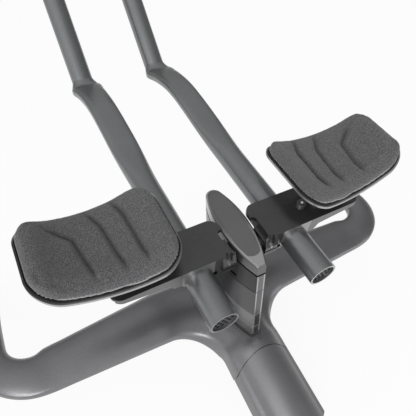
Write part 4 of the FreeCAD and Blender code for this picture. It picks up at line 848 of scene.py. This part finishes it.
class RepeatAlongLine:
    """Geometry Nodes that lay a cord, or separate stitches, along a closed line."""

    CORD_SIDES = 10
    BEAD_SEGMENTS = 8
    BEAD_RINGS = 6
    SMALLEST = 0.85
    LARGEST = 1.1

    def __init__(self) -> None:
        self.cord = self._cord()
        self.stitches = self._stitches()

    @staticmethod
    def _open(name: str, takes: dict[str, object]) -> tuple[Graph, NodeOutputs, Node, NodeSocket]:
        """Starts a group that works on a line.

        Args:
            name: the group's name.
            takes: its own inputs with their defaults.
        Returns:
            The graph, its inputs by name, its output node and the line as a curve.
        """
        graph, given, out = open_group(name, "Geometry", {"Geometry": "Geometry", **takes, "Material": "Material"},
                                       {"Geometry": "Geometry"})
        return graph, given, out, graph.add("GeometryNodeMeshToCurve", {0: given["Geometry"]}).outputs[0]

    def _cord(self) -> NodeTree:
        """A round cord along the line."""
        graph, given, out, curve = self._open("edge_cord", {"Radius": 0.4 * MM})
        circle = graph.add("GeometryNodeCurvePrimitiveCircle", {"Resolution": self.CORD_SIDES,
                                                                "Radius": given["Radius"]})
        sweep = graph.add("GeometryNodeCurveToMesh", {0: curve, 1: circle.outputs[0]})
        return self._close(graph, given, out, sweep)

    def _stitches(self) -> NodeTree:
        """Short round stitches at an even pitch, each turned along the line."""
        graph, given, out, curve = self._open("edge_stitches", {"Pitch": 2.4 * MM, "Length": 1.5 * MM,
                                                                "Radius": 0.3 * MM, "Seed": 7})
        points = graph.add("GeometryNodeCurveToPoints", {"Curve": curve, "Length": given["Pitch"]}, mode="LENGTH")
        bead = graph.add("GeometryNodeMeshUVSphere", {"Segments": self.BEAD_SEGMENTS, "Rings": self.BEAD_RINGS,
                                                      "Radius": given["Radius"]})
        ratio = graph.math("DIVIDE", graph.math("MULTIPLY", given["Length"], 0.5), given["Radius"])
        size = graph.add("ShaderNodeCombineXYZ", {0: 1.0, 1: 1.0, 2: ratio})
        longer = graph.add("GeometryNodeTransform", {"Geometry": bead.outputs[0], "Scale": size.outputs[0]})
        vary = graph.add("FunctionNodeRandomValue", {2: self.SMALLEST, 3: self.LARGEST, "Seed": given["Seed"]})
        stitches = graph.add("GeometryNodeInstanceOnPoints", {
            "Points": points.outputs["Points"], "Instance": longer.outputs[0],
            "Rotation": points.outputs["Rotation"], "Scale": vary.outputs[1]})
        return self._close(graph, given, out, stitches)

    @staticmethod
    def _close(graph: Graph, given: NodeOutputs, out: Node, made: Node) -> NodeTree:
        """Ends a group in real, finished geometry."""
        real = graph.add("GeometryNodeRealizeInstances", {0: made.outputs[0]})
        finish = graph.add("GeometryNodeSetMaterial", {0: real.outputs[0], "Material": given["Material"]})
        graph.feed(out, 0, finish.outputs[0])
        return graph.tree

    @staticmethod
    def lay(name: str, line: Line, tree: NodeTree, **values: object) -> Object:
        """Runs a group on a closed line.

        Args:
            name: the new piece's name.
            line: points of the closed line.
            tree: the geometry group.
            values: the group's named inputs.
        Returns:
            A plain mesh object without modifiers.
        """
        mesh = bpy.data.meshes.new(name + "_line")
        count = len(line)
        mesh.from_pydata(line, [(i, (i + 1) % count) for i in range(count)], [])
        holder = linked(mesh.name, mesh)
        modifier = holder.modifiers.new("repeat", "NODES")
        modifier.node_group = tree
        keys = {item.name: item.identifier for item in tree.interface.items_tree if item.in_out == "INPUT"}
        for label, value in values.items():
            modifier[keys[label]] = value
        plain = plain_mesh(holder, name)
        bpy.data.objects.remove(holder)
        smooth(plain)
        return linked(name, plain)


def linked(name: str, data: ID) -> Object:
    """A new object of a mesh, light or camera, put into the scene."""
    made = bpy.data.objects.new(name, data)
    bpy.context.collection.objects.link(made)
    return made


def plain_mesh(obj: Object, name: str) -> Mesh:
    """The evaluated mesh of an object, as a new plain mesh."""
    bpy.context.view_layer.update()
    graph = bpy.context.evaluated_depsgraph_get()
    mesh = bpy.data.meshes.new_from_object(obj.evaluated_get(graph))
    mesh.name = name
    return mesh


def smooth(mesh: Mesh) -> None:
    """Shades all faces smooth."""
    mesh.polygons.foreach_set("use_smooth", [True] * len(mesh.polygons))
    mesh.update()


@dataclass
class ArmRest(SubAssembly):
    """One arm cup with its hook layer and its padded, knit-covered cushion."""

    side: Side
    repeats: RepeatAlongLine
    plan: PadPlan = field(default_factory=PadPlan)
    voxel: float = 1.5 * MM
    pressure: float = 4.0
    blow_frames: int = 20
    swell_cap: float = 0.7 * MM
    pinned_facing: float = 0.5
    crease_width: float = 2.0 * MM
    crease_depth: float = 1.3 * MM
    crease_facing: float = 0.3
    crease_end: float = 0.15
    crease_rise: float = 8.0
    bolster_height: float = 3.3 * MM
    bolster_inset: float = 10.5 * MM
    bolster_width: float = 6.8 * MM
    bolster_margin: float = 4 * MM
    bolster_facing: Pair = (0.1, 0.5)
    bolster_weights: tuple[float, float, float, float] = (1.0, 0.75, 0.45, 0.3)
    rim_pitch: float = 1.2 * MM
    rim_steps: int = 24
    probe_below: float = 40 * MM
    probe_inside: float = 4 * MM
    probe_outside: float = 12 * MM

    @property
    def node(self) -> str:
        """The CAD node of this side's pad."""
        return self.side.word + "_arm_pad"

    def dress(self) -> None:
        """Light grey shell, a painted highlight for its lit rim, and black hook layer under the pad."""
        self.palette.dress(Palette.CUP, self.side.word + "_arm_cup")
        self.palette.dress(Palette.HOOK, self.side.word + "_pad_backing")

    def build(self) -> None:
        """Sews the pad and its edge over the CAD solid."""
        pad = self._cushion()
        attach(pad, BODY)
        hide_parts(self.node)
        for piece in self._edge(pad):
            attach(piece, BODY)

    def _cushion(self) -> Object:
        """The pad: remeshed, blown up a little, smoothed and creased.

        Returns:
            The finished pad.
        """
        source = bpy.data.objects[self.node]
        mesh = source.data.copy()
        mesh.transform(source.matrix_world)
        mesh.materials.clear()
        merge(mesh)
        pad = linked(self.side.word + "_pad_cushion", mesh)
        remesh = pad.modifiers.new("even", "REMESH")
        remesh.mode = "VOXEL"
        remesh.voxel_size = self.voxel
        self._apply(pad)
        self._inflate(pad)
        finer = pad.modifiers.new("finer", "SUBSURF")
        finer.levels = finer.render_levels = 1
        self._apply(pad)
        self._crease(pad)
        pad.data.materials.clear()
        pad.data.materials.append(self.palette.get(Palette.KNIT))
        smooth(pad.data)
        return pad

    @staticmethod
    def _apply(obj: Object) -> None:
        """Turns the object's modifiers into plain mesh."""
        plain = plain_mesh(obj, obj.name)
        obj.modifiers.clear()
        obj.data = plain

    def _inflate(self, pad: Object) -> None:
        """Blows the cover up against its pinned underside, within the swell cap."""
        down = -TILT.up
        pinned = pad.vertex_groups.new(name="pinned")
        under = [v.index for v in pad.data.vertices if v.normal.dot(down) > self.pinned_facing]
        pinned.add(under, 1.0, "REPLACE")
        rest = [v.co.copy() for v in pad.data.vertices]
        cloth = pad.modifiers.new("blow_up", "CLOTH")
        settings = cloth.settings
        settings.quality = 6
        settings.use_pressure = True
        settings.uniform_pressure_force = self.pressure
        settings.effector_weights.gravity = 0.0
        settings.tension_stiffness = settings.compression_stiffness = 25.0
        settings.bending_stiffness = 2.0
        settings.vertex_group_mass = pinned.name
        cloth.collision_settings.use_self_collision = False
        cloth.point_cache.frame_start = 1
        cloth.point_cache.frame_end = self.blow_frames
        scene = bpy.context.scene
        for number in range(1, self.blow_frames + 1):
            scene.frame_set(number)
        self._apply(pad)
        scene.frame_set(1)
        for vertex, start in zip(pad.data.vertices, rest):
            move = vertex.co - start
            if move.length > self.swell_cap:
                vertex.co = start + move.normalized() * self.swell_cap
        pad.data.update()

    def _crease(self, pad: Object) -> None:
        """Raises the top's border, presses the creases into it and keeps their depth as an attribute."""
        lines = self.plan.crease_lines(self.side)
        inverse, up = TILT.matrix.inverted(), TILT.up
        start, width = self.bolster_facing
        normals = [vertex.normal.copy() for vertex in pad.data.vertices]
        values = []
        for vertex, normal in zip(pad.data.vertices, normals):
            spot = inverse @ vertex.co
            facing = normal.dot(up)
            value = self._pressed(lines, Vector((spot.x, spot.y, 0))) if facing > self.crease_facing else 0.0
            share = min(1.0, max(0.0, (facing - start) / width))
            vertex.co += up * (share * self._bolster(spot) - self.crease_depth * value)
            values.append(value)
        pad.data.update()
        attribute = pad.data.attributes.new(CREASE, "FLOAT", "POINT")
        attribute.data.foreach_set("value", values)

    def _pressed(self, lines: list[Line], spot: Vector) -> float:
        """How deep in a crease a plan point is, from 0 to 1; creases run out toward their ends."""
        value = 0.0
        for line in lines:
            gap, along = distance_to(line, spot)
            fade = min(1.0, self.crease_rise * min(along, 1 - along) + self.crease_end)
            value = max(value, fade * math.exp(-((gap / self.crease_width) ** 2)))
        return value

    def _bolster(self, spot: Vector) -> float:
        """How much the top is raised at a plan point: along the outer and rear sides, less on the others."""
        plan = self.plan
        x = abs(spot.x)
        share = (x - plan.inner) / (plan.outer - plan.inner)
        gaps = (plan.outer - x, spot.y - plan.rear - plan.rear_skew * share, x - plan.inner,
                plan.front - plan.front_skew * share - spot.y)
        raised = max(weight * math.exp(-(((gap - self.bolster_inset) / self.bolster_width) ** 2))
                     for gap, weight in zip(gaps, self.bolster_weights))
        return self.bolster_height * raised * min(1.0, max(0.0, min(gaps) / self.bolster_margin))

    def _edge(self, pad: Object) -> list[Object]:
        """The cord along the pad's lower edge, light grey as a painted highlight, and the stitches above it.

        Args:
            pad: the finished pad, which the edge lies against.
        Returns:
            The two new pieces.
        """
        word, repeats = self.side.word, self.repeats
        cord_line = self._rim_line(pad, height=0.45 * MM, stand_off=0.45 * MM)
        stitch_line = self._rim_line(pad, height=2.1 * MM, stand_off=0.1 * MM)
        cord = repeats.lay(word + "_pad_cord", cord_line, repeats.cord, Radius=0.55 * MM,
                           Material=self.palette.get(Palette.CORD))
        stitches = repeats.lay(word + "_pad_stitches", stitch_line, repeats.stitches, Pitch=2.6 * MM,
                               Length=1.6 * MM, Radius=0.32 * MM, Seed=11,
                               Material=self.palette.get(Palette.THREAD))
        return [cord, stitches]

    def _rim_line(self, pad: Object, height: float, stand_off: float) -> Line:
        """A line round the pad's side wall, a height above its underside.

        Args:
            pad: the pad.
            height: how far above the underside the line runs.
            stand_off: how far it lies outside the pad's skin.
        Returns:
            A closed line of points.
        """
        matrix, up = TILT.matrix, TILT.up
        points: Line = []
        for spot in resample(self.plan.outline(0.0, self.side), self.rim_pitch):
            inward = matrix.to_3x3() @ self._inward(spot)
            start = matrix @ Vector((spot.x, spot.y, -self.probe_below)) + inward * self.probe_inside
            found, low, _, _ = pad.ray_cast(start, up)
            if not found:
                continue
            outside = low + up * height - inward * self.probe_outside
            found, hit, _, _ = pad.ray_cast(outside, inward)
            if found:
                points.append(hit - inward * stand_off)
        return points

    def _inward(self, spot: Vector) -> Vector:
        """The direction from an outline point toward the pad's middle, square to the outline."""
        near = self.plan.outline(0.0, self.side, self.rim_steps)
        inner = self.plan.outline(1.0 * MM, self.side, self.rim_steps)
        index = min(range(len(near)), key=lambda i: (near[i] - spot).length_squared)
        return (inner[index] - near[index]).normalized()


def merge(mesh: Mesh) -> None:
    """Joins the loose triangles of a copied CAD mesh."""
    shape = bmesh.new()
    shape.from_mesh(mesh)
    bmesh.ops.remove_doubles(shape, verts=shape.verts, dist=0.005 * MM)
    shape.to_mesh(mesh)
    shape.free()


@dataclass(frozen=True)
class Lamp:
    """A large soft light turned toward the handlebar."""

    name: str
    spot: Triple
    size: float
    power: float
    aim: Triple = (0.0, 0.1, 0.08)

    def build(self) -> None:
        """Hangs the lamp."""
        light = bpy.data.lights.new(self.name, "AREA")
        light.size = self.size
        light.energy = self.power
        holder = linked(self.name, light)
        holder.location = self.spot
        holder.rotation_euler = (Vector(self.aim) - Vector(self.spot)).to_track_quat("-Z", "Y").to_euler()


@dataclass(frozen=True)
class Studio:
    """Floor, light and camera round the handlebar."""

    camera_spot: Triple = (-0.123604, -0.107647, 0.352274)
    azimuth: float = math.radians(-27.4357)
    elevation: float = math.radians(41.5073)
    roll: float = math.radians(-1.3972)
    lens: float = 35.769
    sensor: float = 36.0
    near_clip: float = 0.01
    floor_drop: float = 2 * MM
    floor_size: float = 12.0
    floor_tone: Colour = (0.86, 0.86, 0.86)
    floor_roughness: float = 0.9
    floor_white: float = 0.92
    bright_side: Triple = (-0.8, -0.6, 0.1)
    bright_range: Pair = (-0.3, 0.95)
    bright_levels: Pair = (0.36, 1.25)
    overhead: Triple = (0.05, 0.45, 0.88)
    overhead_range: Pair = (0.5, 1.0)
    overhead_levels: Pair = (0.0, 0.42)
    lamps: tuple[Lamp, ...] = (Lamp("key", (-1.0, -0.9, 0.75), 0.9, 12.0), Lamp("fill", (0.9, -0.9, 0.5), 0.8, 3.0))

    def build(self) -> None:
        """Sets up the whole studio."""
        bpy.context.scene.view_settings.view_transform = "Standard"
        self._world()
        self._floor()
        for lamp in self.lamps:
            lamp.build()
        self._camera()

    def _world(self) -> None:
        """Soft light all round, brighter behind the camera's left and overhead; the camera sees white."""
        world = bpy.data.worlds.new("studio")
        bpy.context.scene.world = world
        world.use_nodes = True
        world.node_tree.nodes.clear()
        graph = Graph(world.node_tree)
        side = graph.spread(self._toward(graph, self.bright_side), *self.bright_range, self.bright_levels)
        above = graph.spread(self._toward(graph, self.overhead), *self.overhead_range, self.overhead_levels)
        sky = graph.add("ShaderNodeBackground", {"Strength": graph.math("ADD", side, above)})
        white = graph.add("ShaderNodeBackground", {"Color": WHITE})
        rays = graph.add("ShaderNodeLightPath").outputs
        pick = graph.add("ShaderNodeMixShader", {0: rays["Is Camera Ray"], 1: sky.outputs[0], 2: white.outputs[0]})
        graph.add("ShaderNodeOutputWorld", {0: pick.outputs[0]})

    @staticmethod
    def _toward(graph: Graph, direction: Triple) -> NodeSocket:
        """How nearly a direction of the world agrees with another, from -1 to 1."""
        return graph.dot(graph.place("Generated"), Vector(direction).normalized())

    def _floor(self) -> None:
        """A pale floor just under the object."""
        low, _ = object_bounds()
        half = self.floor_size / 2
        z = low[2] - self.floor_drop
        mesh = bpy.data.meshes.new("studio_floor")
        mesh.from_pydata([(-half, -half, z), (half, -half, z), (half, half, z), (-half, half, z)], [], [(0, 1, 2, 3)])
        mesh.materials.append(self._floor_material())
        floor = linked(mesh.name, mesh)
        floor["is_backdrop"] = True

    def _floor_material(self) -> Material:
        """Pale and matt, and seen almost white by the camera and in reflections."""
        material = bpy.data.materials.new("studio_floor")
        material.use_nodes = True
        graph = Graph(material.node_tree)
        shader = material.node_tree.nodes["Principled BSDF"]
        graph.feed(shader, "Base Color", rgba(self.floor_tone))
        graph.feed(shader, "Roughness", self.floor_roughness)
        rays = graph.add("ShaderNodeLightPath").outputs
        seen = graph.math("MAXIMUM", rays["Is Camera Ray"], rays["Is Glossy Ray"])
        seen = graph.math("MAXIMUM", seen, rays["Is Transmission Ray"])
        glow = graph.add("ShaderNodeEmission")
        mix = graph.add("ShaderNodeMixShader", {0: graph.math("MULTIPLY", seen, self.floor_white),
                                                1: shader.outputs[0], 2: glow.outputs[0]})
        graph.feed(material.node_tree.nodes["Material Output"], 0, mix.outputs[0])
        return material

    def _camera(self) -> None:
        """The photograph's viewpoint."""
        back = Vector((math.sin(self.azimuth) * math.cos(self.elevation),
                       -math.cos(self.azimuth) * math.cos(self.elevation), math.sin(self.elevation)))
        right = (-back).cross(Vector((0, 0, 1))).normalized()
        turn = Matrix((right, right.cross(-back), back)).transposed() @ Matrix.Rotation(self.roll, 3, "Z")
        data = bpy.data.cameras.new("photo_camera")
        data.sensor_width = self.sensor
        data.sensor_fit = "HORIZONTAL"
        data.lens = self.lens
        data.clip_start = self.near_clip
        camera = linked(data.name, data)
        camera.matrix_world = Matrix.Translation(self.camera_spot) @ turn.to_4x4()
        bpy.context.scene.camera = camera


def main() -> None:
    """Builds, dresses and lights the handlebar."""
    logging.basicConfig(level=logging.INFO)
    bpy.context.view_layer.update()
    palette = Palette()
    repeats = RepeatAlongLine()
    groups: list[SubAssembly] = [BaseBar(palette), RiserPost(palette), Fasteners(palette)]
    for side in Side:
        groups.append(ExtensionSide(palette, side))
        groups.append(ArmRest(palette, side, repeats))
    for group in groups:
        group.build()
        group.dress()
        log.info("%s done", type(group).__name__)
    Studio().build()


if __name__ == "__main__":
    main()
